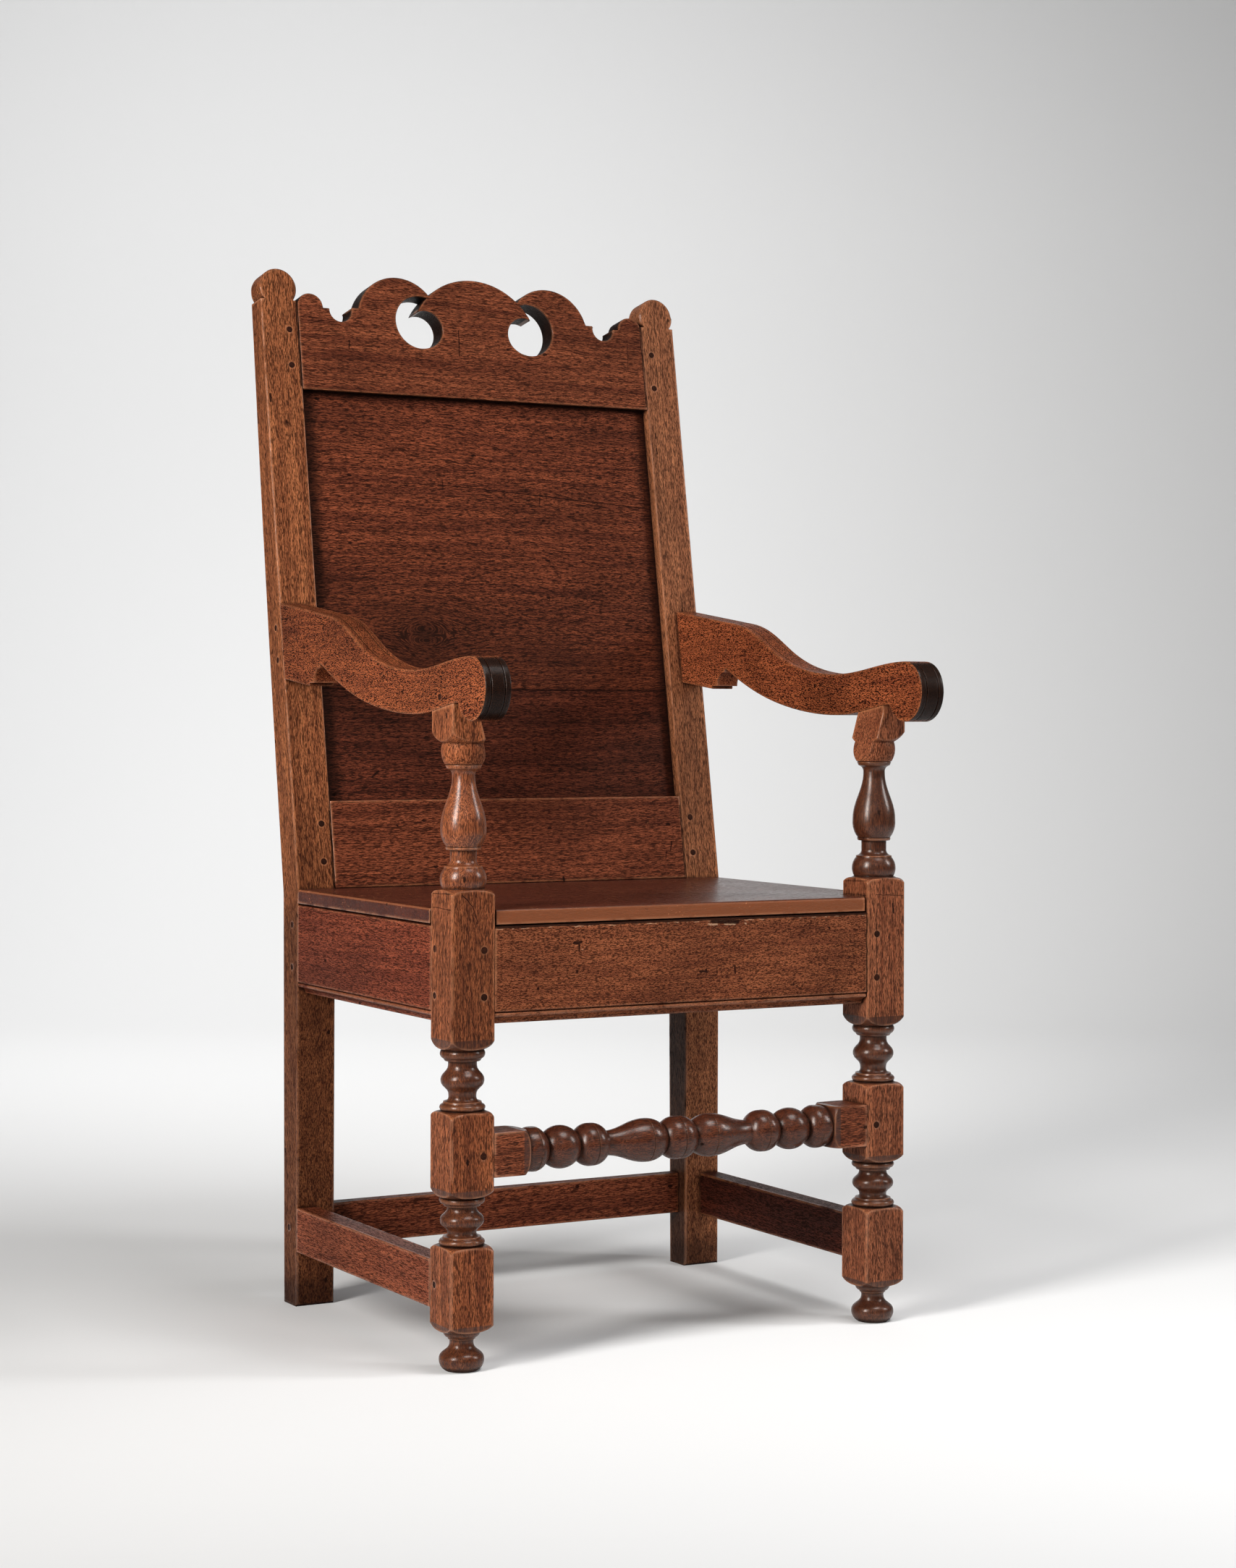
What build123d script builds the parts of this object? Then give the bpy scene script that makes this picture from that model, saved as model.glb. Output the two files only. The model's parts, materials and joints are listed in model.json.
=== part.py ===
from build123d import *
import math
import os

# Wainscot armchair in walnut: turned front posts and front stretcher, raked rear posts, a frame and
# panel back under a scalloped and pierced crest rail, a board seat, and scrolled arms. Every piece is
# its own solid, joined by mortise and tenon and held by turned wooden pegs.
#
# All sizes are in millimetres. +Z is up and +Y runs from the front to the back. The origin lies on
# the floor, under the middle of the chair's bounding box. The back is drawn on its own raked plane,
# where the height is measured up the rake from the seat.

os.makedirs("parts", exist_ok=True)

# ---------------------------------------------------------------- driving dimensions

# Overall stance
overall_width = 532.0  # over the outer faces of the posts
seat_height = 450.0  # top of the seat board
seat_depth = 376.4  # front of the front posts to front of the rear posts
rake_angle = 9.7  # how far the back leans, in degrees
arris = 1.2  # worn rounding of exposed long edges

# Fits
joint_play = 0.1  # a mortise over its tenon, on each cheek
joint_end_play = 1.0  # depth left beyond a tenon or a peg
peg_fit = 0.05  # a bore over its peg, in radius
panel_play = 0.2  # a panel board in its groove
board_gap = 0.2  # between the two panel boards
notch_gap = 2.2  # seat board to front post
overcut = 1.0  # how far a cutter stands out of the wood

# Sticks and boards
front_stock = 47.0  # square section of the front posts
rear_stock = 44.3  # width of the rear posts
rear_depth_floor = 34.0  # rear post, front to back, at the floor
rear_depth_seat = 41.0  # at the seat
rear_depth_arm = 37.3  # at the arms
rear_arm_level = 314.0  # height of the arms up the rake, for that depth
rear_depth_top = 26.0  # at the top
rail_thickness = 25.0
frame_thickness = 26.0  # crest rail and lower back rail
tenon_thickness = 8.0
tenon_setback = 9.0  # tenon cheek behind the face of its rail
tenon_length = 24.0
cross_tenon_length = 17.0  # rails between the rear posts
front_tenon_length = 28.0
rail_tenon_shoulders = (12.0, 10.0)  # rail left below and above the tenon
lower_rail_shoulders = (14.0, 12.0)
crest_tenon_span = (14.0, 80.0)  # above the crest rail's lower edge
stretcher_shoulder = 8.0  # stretcher left below and above its tenon
rear_rail_cheek = 8.0  # tenon cheek behind the face of the rear rail
front_stretcher_tenon_height = 28.0

# Pegs
peg_radius = 3.25
peg_length = 26.0
rear_peg_length = 24.0  # from the back of the rear posts
front_stretcher_peg_length = 32.0
peg_proud = 0.4  # pegs in front faces stand out a little
peg_sink = 0.3  # pegs in side and back faces lie a little below
peg_edge = 11.9  # centre line of the front and back pegs, from the post's inner edge
side_peg_edge = 8.5  # side pegs in the front posts, from the post's back
rear_peg_edge = 16.0  # side pegs in the rear posts, from the post's front
stretcher_peg_shifts = (-1.5, 5.5)  # side stretcher pegs, behind the rails' front and rear ones
rail_peg_shares = (0.75, 0.28)  # heights of the pegs as shares of the rail
lower_rail_peg_shares = (0.74, 0.31)
crest_peg_rises = (68.0, 27.0)  # above the crest rail's lower edge
arm_peg_rises = (17.5, -18.5)  # from the middle of the arm's rear end
arm_peg_depth = 29.5  # peg from the arm into the front post's tenon
arm_peg_drop = 27.3

# Turned front posts: the square blocks left between the turnings
foot_radius = 16.0  # where the foot meets the floor
foot_block_low = 45.5
foot_block_high = 121.5
stretcher_block_height = 75.0
stretcher_block_share = 0.4614  # its middle, on the way from the foot block to the rail block
stretcher_block_rise = 4.4  # its middle above the axis of the front stretcher
block_shoulder = 5.5  # height over which the top corners of a block are turned away
block_crown = 0.5  # what the turned shoulder ends outside the faces of the block
rail_block_above_seat = 18.8
rail_block_below_rail = 14.3
support_block_below_arm = 60.8  # lower end of the top block under the arm's lowest top edge
support_slope_height = 56.0  # planed slope that narrows the top block to the arm
support_slope_run = 3.2  # what the slope leaves of the block's inner face at its lower end

# Seat
seat_thickness = 14.75
seat_front_setback = 2.0
seat_edge_rounding = 3.0
seat_behind_posts = 25.6  # how far the board runs back between the rear posts
pin_radius = 3.25
pin_length = 40.0
side_pins = 3
first_pin = 103.0
pin_pitch = 111.0
front_pin_line = 174.0
front_pin_inset = 17.0

# Seat rails
rail_height = 97.25
rail_bevel_drop = 2.2
rail_bevel_depth = 12.0
moulding_height = 12.0
moulding_depth = 9.0
quirk = 1.5

# Stretchers
side_stretcher_low = 58.8
side_stretcher_height = 47.5
side_stretcher_thickness = 24.7
rear_stretcher_low = 60.0
rear_stretcher_height = 46.0
rear_stretcher_thickness = 17.0
rear_stretcher_setback = 15.0
rear_rail_setback = 6.0
front_stretcher_stock = 43.4
front_stretcher_block = 186.0  # half the length between the square blocks
middle_bead_radius = 21.7
line_depth = 0.6  # fine lines cut round the beads and vases of the stretcher
line_half_width = 0.5

# Back, heights measured up the rake from the seat
lower_rail_height = 96.3
board_joint = 223.3
crest_bottom = 560.0
post_shoulder = 662.0
finial_centre = 676.0
finial_radius = 22.0
panel_recess = 10.8
panel_thickness = 8.0
groove_depth = 8.0

# Crest rail, all of it compass work. The centres are (half width, height above the shoulder that
# ends the outline at the posts), and the radii follow.
centre_lobe = (0.0, -37.5)
centre_lobe_radius = 84.0
big_lobe = (96.7, -8.7)
big_lobe_radius = 51.4
scoop = (169.4, -1.0)
scoop_radius = 13.4
small_lobe_rise = 0.3
small_lobe_radius = 15.7
small_lobe_overlap = 0.3  # how far the small lobe runs out at the post
inner_step = (156.0, 2.5)
crest_shoulder = 656.0
piercing = (70.1, -8.5)
piercing_radius = 30.8
piercing_inner_radius = 21.2
piercing_turn = 48.8  # direction from the inner circle to the outer one, in degrees

# Arms. Heights are above the seat or, where said, from the lowest point of the arm's top edge, and
# depths are behind the front posts' front faces or in front of the rear posts' front faces.
arm_thickness = 28.0
arm_rise = 234.8  # lowest point of the top edge above the seat
arm_dip = 90.0  # depth of that point
arm_swoop = (215.0, 25.2)  # point on the rising top edge, depth and height from the lowest
arm_bend = (76.4, 59.2)  # where the top edge turns straight, in front of the rear posts
arm_rear_top = 76.2  # top edge at the rear post, above the lowest point
arm_rear_depth = 83.7  # height of the arm at the rear post
arm_belly = (90.0, -44.5)  # lowest point of the underside
arm_hollow = (175.0, -37.8)  # point where the underside starts to rise
arm_apex = (57.4, 8.2)  # highest point of the underside, in front of the bracket
cove_centre_inset = (55.4, -11.8)
bracket_fillet = (28.7, 3.3)  # outer edge of the bracket's fillet, and its step down
scroll_radius = 31.5
scroll_overhang = 70.0  # scroll in front of the front posts
arm_seat_drop = 33.6  # seat on the front post, below the arm's lowest top edge
arm_seat_slope = 0.163
scroll_drop = 19.3  # centre of the scroll below the same
cove_radius = 15.5
arm_peg_length = 22.0
incised_line_inset = 6.1
incised_line_width = 1.2
incised_line_depth = 0.8
support_tenon_height = 17.0
support_tenon_thickness = 10.0
tenon_root = 6.0  # start of that tenon inside the post, below the slanting seat
arm_tenon_height = 62.0

# ---------------------------------------------------------------- derived places

rake = math.radians(rake_angle)
finial_top = finial_centre + finial_radius
overall_depth = (
    scroll_overhang + seat_depth + finial_top * math.sin(rake) + rear_depth_top * math.cos(rake)
)
half_width = overall_width / 2
front = scroll_overhang - overall_depth / 2
rear = front + seat_depth
post_back = front + front_stock
post_inside = half_width - front_stock
rear_inside = half_width - rear_stock
post_axis = (half_width - front_stock / 2, front + front_stock / 2)
rear_centre = half_width - rear_stock / 2
arm_inside = half_width - arm_thickness
seat_underside = seat_height - seat_thickness
rail_bottom = seat_underside - rail_height
rail_block_low = rail_bottom - rail_block_below_rail
rail_block_high = seat_height + rail_block_above_seat
stretcher_block_middle = foot_block_high + stretcher_block_share * (rail_block_low - foot_block_high)
front_stretcher_axis = stretcher_block_middle - stretcher_block_rise
stretcher_block_low = stretcher_block_middle - stretcher_block_height / 2
stretcher_block_high = stretcher_block_middle + stretcher_block_height / 2
arm_low_top = seat_height + arm_rise
arm_rear_high = arm_low_top + arm_rear_top
arm_rear_low = arm_rear_high - arm_rear_depth
support_block_low = arm_low_top - support_block_below_arm
rear_rail_front = rear + rear_rail_setback

back_plane = Plane(
    origin=(0, rear, seat_height),
    x_dir=(1, 0, 0),
    z_dir=(0, -math.cos(rake), math.sin(rake)),
)
front_face = Plane(origin=(0, front, 0), x_dir=(1, 0, 0), z_dir=(0, -1, 0))
right_face = Plane(origin=(half_width, 0, 0), x_dir=(0, 1, 0), z_dir=(1, 0, 0))
rear_face = Plane(origin=(0, rear, 0), x_dir=(1, 0, 0), z_dir=(0, -1, 0))
raked_side = Plane(
    origin=(half_width, rear, seat_height),
    x_dir=(0, math.cos(rake), -math.sin(rake)),
    z_dir=(1, 0, 0),
)


def raked_y(height):
    """Front face of the back at a height above the seat."""
    return rear + (height - seat_height) * math.tan(rake)


def back_face(height):
    """Back face of the rear posts at a height below the seat."""
    taper = (rear_depth_seat / math.cos(rake) - rear_depth_floor) / seat_height
    depth = rear_depth_floor + taper * height
    return Plane(origin=(0, rear + depth, 0), x_dir=(-1, 0, 0), z_dir=(0, 1, 0))


# Places of the pegs. On a front face they are (half width, height), on a side face (depth, height),
# on the back (half width, height up the rake), and on the raked side (depth, height up the rake).
peg_line = post_inside + peg_edge
rear_peg_line = rear_inside + peg_edge
rail_peg_heights = [rail_bottom + rail_height * share for share in rail_peg_shares]
stretcher_peg_height = side_stretcher_low + side_stretcher_height / 2
front_rail_pegs = [(peg_line, height) for height in rail_peg_heights]
front_stretcher_peg = [(peg_line, front_stretcher_axis)]
side_rail_front_peg_places = [(post_back - side_peg_edge, height) for height in rail_peg_heights]
side_rail_rear_peg_places = [(rear + rear_peg_edge, height) for height in rail_peg_heights]
side_stretcher_peg_places = [
    (post_back - side_peg_edge + stretcher_peg_shifts[0], stretcher_peg_height),
    (rear + rear_peg_edge + stretcher_peg_shifts[1], stretcher_peg_height),
]
crest_peg_places = [(rear_peg_line, crest_bottom + rise) for rise in crest_peg_rises]
lower_rail_peg_places = [
    (rear_peg_line, lower_rail_height * share) for share in lower_rail_peg_shares
]
arm_middle = ((arm_rear_low + arm_rear_high) / 2 - seat_height) / math.cos(rake)
arm_rear_peg_places = [(rear_peg_edge, arm_middle + rise) for rise in arm_peg_rises]
arm_front_peg_places = [(front + arm_peg_depth, arm_low_top - arm_peg_drop)]
rear_rail_peg_places = [(rear_peg_line, height) for height in rail_peg_heights]
rear_stretcher_peg_places = [(rear_peg_line, rear_stretcher_low + rear_stretcher_height / 2)]
side_pin_places = [
    (half_width - rail_thickness / 2, front + first_pin + i * pin_pitch) for i in range(side_pins)
]
seat_pin_places = side_pin_places + [(front_pin_line, front + front_pin_inset)]

# ---------------------------------------------------------------- helpers


def block(plane, x_range, y_range, z_range, mode=Mode.ADD):
    """Straight-sided block over three ranges of a plane's own directions."""
    width = x_range[1] - x_range[0]
    height = y_range[1] - y_range[0]
    with BuildSketch(plane.offset(z_range[0])) as outline:
        with Locations(((x_range[0] + x_range[1]) / 2, (y_range[0] + y_range[1]) / 2)):
            Rectangle(width, height)
    extrude(outline.sketch, amount=z_range[1] - z_range[0], mode=mode)


def grown(span, by):
    """A range widened at both ends."""
    return (span[0] - by, span[1] + by)


def dowels(plane, places, length, radius, proud, mode=Mode.ADD):
    """Round pegs, or the bores for them, driven in from a plane."""
    with BuildSketch(plane.offset(proud)) as ends:
        with Locations(*places):
            Circle(radius)
    extrude(ends.sketch, amount=-(length + proud), mode=mode)


def bores(plane, places, length=peg_length):
    """Bores for pegs, open at the face."""
    dowels(plane, places, length + joint_end_play, peg_radius + peg_fit, overcut, Mode.SUBTRACT)


def both_sides(places):
    """Places repeated on the left of the chair."""
    return places + [(-x, y) for x, y in places]


def turned_run(radius, low, high, members):
    """Profile of turned members, one above the other, from a radius at low up to high.

    Each member is (height, radius at its upper end, bulge). A positive bulge swells, a negative one
    hollows, None is an ogee. Members whose height is None share what the others leave.
    """
    heights = [member[0] for member in members]
    spare = (high - low - sum(filter(None, heights))) / max(heights.count(None), 1)
    z = low
    for height, upper, bulge in members:
        z_upper = z + (spare if height is None else height)
        if bulge is None:
            Spline((radius, z), (upper, z_upper), tangents=((0, 1), (0, 1)))
        elif bulge:
            SagittaArc((radius, z), (upper, z_upper), -bulge)
        else:
            Line((radius, z), (upper, z_upper))
        radius, z = upper, z_upper


def square_zone(corner, low, high):
    """Stretch of a turner's profile that leaves the stick square."""
    clear = corner + 2.0
    Polyline((corner, low), (clear, low), (clear, high), (corner, high))


# ---------------------------------------------------------------- joints shared by two pieces
# Each is cut in one piece with some play and stands on the other without it.

rail_tenon_heights = (rail_bottom + rail_tenon_shoulders[0], seat_underside - rail_tenon_shoulders[1])
side_stretcher_tenon_heights = (
    side_stretcher_low + stretcher_shoulder,
    side_stretcher_low + side_stretcher_height - stretcher_shoulder,
)


def tenon_across(plane, side_range, height_range, depth_range, play):
    """Tenon, or with play the mortise for it, on a plane whose normal looks out of the face."""
    mode = Mode.SUBTRACT if play else Mode.ADD
    depth = (-depth_range[1] - play, -depth_range[0] + play)
    block(plane, side_range, grown(height_range, play), depth, mode)


def front_rail_tenon(side, play=0.0):
    ends = (post_inside, post_inside + front_tenon_length + (joint_end_play if play else 0.0))
    across = ends if side > 0 else (-ends[1], -ends[0])
    depth = (tenon_setback, tenon_setback + tenon_thickness)
    tenon_across(front_face, across, rail_tenon_heights, depth, play)


def front_stretcher_tenon(side, play=0.0):
    ends = (post_inside, post_inside + tenon_length + (joint_end_play if play else 0.0))
    across = ends if side > 0 else (-ends[1], -ends[0])
    middle = front_stretcher_stock / 2
    depth = (middle - tenon_thickness / 2, middle + tenon_thickness / 2)
    low = front_stretcher_axis - front_stretcher_tenon_height / 2
    height_range = (low, low + front_stretcher_tenon_height)
    tenon_across(front_face, across, height_range, depth, play)


def side_tenons(low, high, play=0.0, front_end=True, rear_end=True):
    """Tenons of a right side rail or stretcher, into the front and the rear post."""
    extra = joint_end_play if play else 0.0
    depth = (tenon_setback, tenon_setback + tenon_thickness)
    if front_end:
        reach = (post_back - front_tenon_length - extra, post_back)
        tenon_across(right_face, reach, (low, high), depth, play)
    if rear_end:
        reach = (rear, rear + tenon_length + extra)
        tenon_across(right_face, reach, (low, high), depth, play)


def cross_tenon(plane, side, low, high, first_cheek, play=0.0):
    """Tenon of a rail between the rear posts."""
    ends = (rear_inside, rear_inside + cross_tenon_length + (joint_end_play if play else 0.0))
    across = ends if side > 0 else (-ends[1], -ends[0])
    tenon_across(plane, across, (low, high), (first_cheek, first_cheek + tenon_thickness), play)


def crest_tenon(side, play=0.0):
    low, high = crest_tenon_span
    cross_tenon(back_plane, side, crest_bottom + low, crest_bottom + high, tenon_setback, play)


def lower_rail_tenon(side, play=0.0):
    low, high = lower_rail_shoulders
    cross_tenon(back_plane, side, low, lower_rail_height - high, tenon_setback, play)


def rear_rail_tenon(side, play=0.0):
    cross_tenon(rear_face, side, *rail_tenon_heights, rear_rail_setback + rear_rail_cheek, play)


def rear_stretcher_tenon(side, play=0.0):
    cheek = rear_stretcher_setback + (rear_stretcher_thickness - tenon_thickness) / 2
    low = rear_stretcher_low + stretcher_shoulder
    high = rear_stretcher_low + rear_stretcher_height - stretcher_shoulder
    cross_tenon(rear_face, side, low, high, cheek, play)


def arm_rear_tenon(play=0.0):
    """Tenon of the right arm into the rear post, square to the raked face."""
    middle = arm_inside + arm_thickness / 2
    across = (middle - tenon_thickness / 2, middle + tenon_thickness / 2)
    height = (arm_middle - arm_tenon_height / 2, arm_middle + arm_tenon_height / 2)
    depth = (0.0, tenon_length + (joint_end_play if play else 0.0))
    mode = Mode.SUBTRACT if play else Mode.ADD
    block(
        back_plane,
        grown(across, play),
        grown(height, play),
        (-depth[1], -depth[0]),
        mode,
    )


def arm_seat(y):
    """Height of the straight seat on the arm's underside, over the front post."""
    return arm_low_top - arm_seat_drop - arm_seat_slope * (y - front)


def support_tenon(play=0.0):
    """Tenon on top of the right front post, up into the arm."""
    middle = arm_inside + arm_thickness / 2
    across = (middle - support_tenon_thickness / 2, middle + support_tenon_thickness / 2)
    along = (front + tenon_setback, post_back - tenon_setback)
    top = arm_seat(front) + support_tenon_height + (joint_end_play if play else 0.0)
    root = arm_seat(post_back) - tenon_root
    mode = Mode.SUBTRACT if play else Mode.ADD
    block(Plane.XY, grown(across, play), grown(along, play), (root, top), mode)


# ---------------------------------------------------------------- front posts

front_corner = front_stock / math.sqrt(2)
crown_radius = front_stock / 2 + block_crown

with BuildPart() as front_post_right:
    with BuildSketch():
        with Locations(post_axis):
            RectangleRounded(front_stock, front_stock, arris)
    stick_top = arm_seat(front) + tenon_root
    extrude(amount=stick_top)
    turning_plane = Plane(origin=(*post_axis, 0), x_dir=(1, 0, 0), z_dir=(0, -1, 0))
    with BuildSketch(turning_plane):
        with BuildLine():
            # Foot: a flattened ball that runs up into a neck, a fillet and a ring.
            Line((0, 0), (foot_radius, 0))
            turned_run(foot_radius, 0.0, foot_block_low, [
                (10.6, 22.3, 1.7),
                (16.9, 11.7, None),
                (2.9, 12.0, 0),
                (0.4, 13.6, 0),
                (2.2, 14.0, 0),
                (0.3, 16.2, 0),
                (5.0, 18.6, 0.5),
                (0.3, 19.6, 0),
                (None, front_corner, 1.6),
            ])
            square_zone(front_corner, foot_block_low, foot_block_high - block_shoulder)
            # Ring, fillet, a ball between two hollows, fillet and ring under the stretcher block.
            turned_run(front_corner, foot_block_high - block_shoulder, stretcher_block_low, [
                (block_shoulder, crown_radius, 1.5),
                (0.8, 20.3, 0),
                (6.4, 19.8, 2.5),
                (0.4, 19.2, 0),
                (1.7, 18.8, 0),
                (2.9, 14.2, -1.0),
                (None, 21.7, None),
                (None, 14.5, None),
                (1.2, 14.5, 0),
                (0.5, 17.8, 0),
                (2.0, 18.8, 0),
                (0.4, 19.8, 0),
                (6.4, 20.0, 2.5),
                (8.0, front_corner, 1.6),
            ])
            square_zone(front_corner, stretcher_block_low, stretcher_block_high - block_shoulder)
            # The same members, drawn out, under the seat rail block.
            turned_run(front_corner, stretcher_block_high - block_shoulder, rail_block_low, [
                (block_shoulder, crown_radius, 1.5),
                (1.4, 20.4, 0.3),
                (6.4, 19.8, 2.5),
                (0.4, 19.3, 0),
                (2.0, 18.8, 0),
                (4.0, 13.7, -1.4),
                (2.0, 13.7, 0),
                (None, 21.5, None),
                (None, 14.2, None),
                (3.4, 14.2, 0),
                (0.6, 17.6, 0),
                (2.2, 19.0, 0),
                (0.4, 19.8, 0),
                (8.3, 20.6, 2.1),
                (10.6, front_corner, 1.8),
            ])
            square_zone(front_corner, rail_block_low, rail_block_high - block_shoulder)
            # Arm support: bead, hollow, long vase, and a cup bead under the top block.
            turned_run(front_corner, rail_block_high - block_shoulder, support_block_low, [
                (block_shoulder, crown_radius, 1.5),
                (1.6, 20.8, 0.2),
                (19.2, 19.6, 2.9),
                (0.4, 19.0, 0),
                (2.2, 18.8, 0),
                (7.6, 13.2, -2.1),
                (8.0, 13.2, 0),
                (0.5, 17.0, 0),
                (2.4, 17.8, 0),
                (0.3, 17.0, 0),
                (19.0, 22.6, 1.9),
                (None, 11.4, None),
                (6.8, 16.6, -1.6),
                (3.4, 18.0, 0),
                (0.5, 17.2, 0),
                (0.5, 18.6, 0),
                (20.6, 21.0, 2.3),
                (11.4, front_corner, 1.0),
            ])
            square_zone(front_corner, support_block_low, stick_top)
            Polyline((front_corner, stick_top), (0, stick_top), (0, 0))
        make_face()
    revolve(axis=Axis((*post_axis, 0), (0, 0, 1)), mode=Mode.INTERSECT)
    # The top block is planed narrower on its inner side, down to the thickness of the arm.
    slope_top = arm_seat(post_back)
    slope_low = slope_top - support_slope_height
    with BuildSketch(front_face.offset(overcut)):
        with BuildLine():
            Polyline(
                (post_inside - overcut, stick_top + overcut),
                (arm_inside, stick_top + overcut),
                (arm_inside, slope_top),
                (post_inside + support_slope_run, slope_low),
                (post_inside - overcut, slope_low),
                close=True,
            )
        make_face()
    extrude(amount=-(front_stock + 2 * overcut), mode=Mode.SUBTRACT)
    # Its top is cut to the slanting seat on the underside of the arm.
    seat_start = front - overcut
    seat_end = post_back + overcut
    with BuildSketch(right_face.offset(overcut)):
        with BuildLine():
            Polyline(
                (seat_start, arm_seat(seat_start)),
                (seat_end, arm_seat(seat_end)),
                (seat_end, stick_top + overcut),
                (seat_start, stick_top + overcut),
                close=True,
            )
        make_face()
    extrude(amount=-(front_stock + 2 * overcut), mode=Mode.SUBTRACT)
    support_tenon()
    front_rail_tenon(1, joint_play)
    front_stretcher_tenon(1, joint_play)
    side_tenons(*rail_tenon_heights, joint_play, rear_end=False)
    side_tenons(*side_stretcher_tenon_heights, joint_play, rear_end=False)
    bores(front_face, front_rail_pegs)
    bores(front_face, front_stretcher_peg, front_stretcher_peg_length)
    bores(right_face, side_rail_front_peg_places)
    bores(right_face, side_stretcher_peg_places[:1])
    bores(right_face, arm_front_peg_places, arm_peg_length)

# ---------------------------------------------------------------- rear posts

with BuildPart() as rear_post_right:
    side_plane = Plane(origin=(rear_inside, 0, 0), x_dir=(0, 1, 0), z_dir=(1, 0, 0))

    def raked_point(depth, height):
        """Depth behind the raked face and height up the rake, as (y, z)."""
        y = rear + height * math.sin(rake) + depth * math.cos(rake)
        return (y, seat_height + height * math.cos(rake) - depth * math.sin(rake))

    with BuildSketch(side_plane):
        with BuildLine():
            Polyline(
                raked_point(0, finial_top),
                (rear, seat_height),
                (rear, 0),
                (rear + rear_depth_floor, 0),
                raked_point(rear_depth_seat, 0),
            )
            ThreePointArc(
                raked_point(rear_depth_seat, 0),
                raked_point(rear_depth_arm, rear_arm_level),
                raked_point(rear_depth_top, finial_top),
            )
            Line(raked_point(rear_depth_top, finial_top), raked_point(0, finial_top))
        make_face()
    extrude(amount=rear_stock)
    outer_edges = rear_post_right.edges().group_by(Axis.X)[-1]
    fillet(outer_edges.filter_by(lambda edge: edge.length > 2 * rear_stock), arris)
    # Round finial: the shoulders beside it are sawn down and its head is rounded.
    with BuildSketch(back_plane.offset(overcut)):
        with Locations((rear_centre, post_shoulder)):
            Rectangle(
                rear_stock + 2 * overcut,
                finial_top - post_shoulder + overcut,
                align=(Align.CENTER, Align.MIN),
            )
        with Locations((rear_centre, finial_centre)):
            Circle(finial_radius, mode=Mode.SUBTRACT)
    extrude(amount=-(rear_depth_seat + 2 * overcut), mode=Mode.SUBTRACT)
    # Groove for the panel.
    block(
        back_plane,
        (rear_inside - overcut, rear_inside + groove_depth),
        (lower_rail_height - groove_depth, crest_bottom + groove_depth),
        (-panel_recess - panel_thickness - panel_play, -panel_recess),
        Mode.SUBTRACT,
    )
    crest_tenon(1, joint_play)
    lower_rail_tenon(1, joint_play)
    rear_rail_tenon(1, joint_play)
    rear_stretcher_tenon(1, joint_play)
    arm_rear_tenon(joint_play)
    side_tenons(*rail_tenon_heights, joint_play, front_end=False)
    side_tenons(*side_stretcher_tenon_heights, joint_play, front_end=False)
    bores(back_plane, crest_peg_places)
    bores(back_plane, lower_rail_peg_places)
    bores(right_face, side_rail_rear_peg_places)
    bores(right_face, side_stretcher_peg_places[1:])
    bores(raked_side, arm_rear_peg_places)
    for place in rear_rail_peg_places + rear_stretcher_peg_places:
        bores(back_face(place[1]), [(-place[0], place[1])], rear_peg_length)

# ---------------------------------------------------------------- crest rail

piercing_step = piercing_radius - piercing_inner_radius
piercing_inner = (
    piercing[0] - piercing_step * math.cos(math.radians(piercing_turn)),
    piercing[1] - piercing_step * math.sin(math.radians(piercing_turn)),
)

# The piercing is a round hole with a tooth left standing in it. The tooth is the part of the centre
# lobe's disc that lies inside the hole, above the line through the two centres, cut away by the
# smaller circle.
with BuildSketch() as tooth_side:
    with Locations(centre_lobe):
        Circle(centre_lobe_radius)
    with Locations(piercing):
        Rectangle(
            4 * piercing_radius,
            4 * piercing_radius,
            rotation=piercing_turn,
            align=(Align.CENTER, Align.MIN),
            mode=Mode.INTERSECT,
        )

with BuildSketch() as piercing_outline:
    with Locations(piercing):
        Circle(piercing_radius)
    add(tooth_side.sketch, mode=Mode.SUBTRACT)
    with Locations(piercing_inner):
        Circle(piercing_inner_radius)

crest_plane = Plane(
    origin=back_plane.from_local_coords((0, crest_shoulder, 0)),
    x_dir=back_plane.x_dir,
    z_dir=back_plane.z_dir,
)
crest_depth = crest_shoulder - crest_bottom

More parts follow.
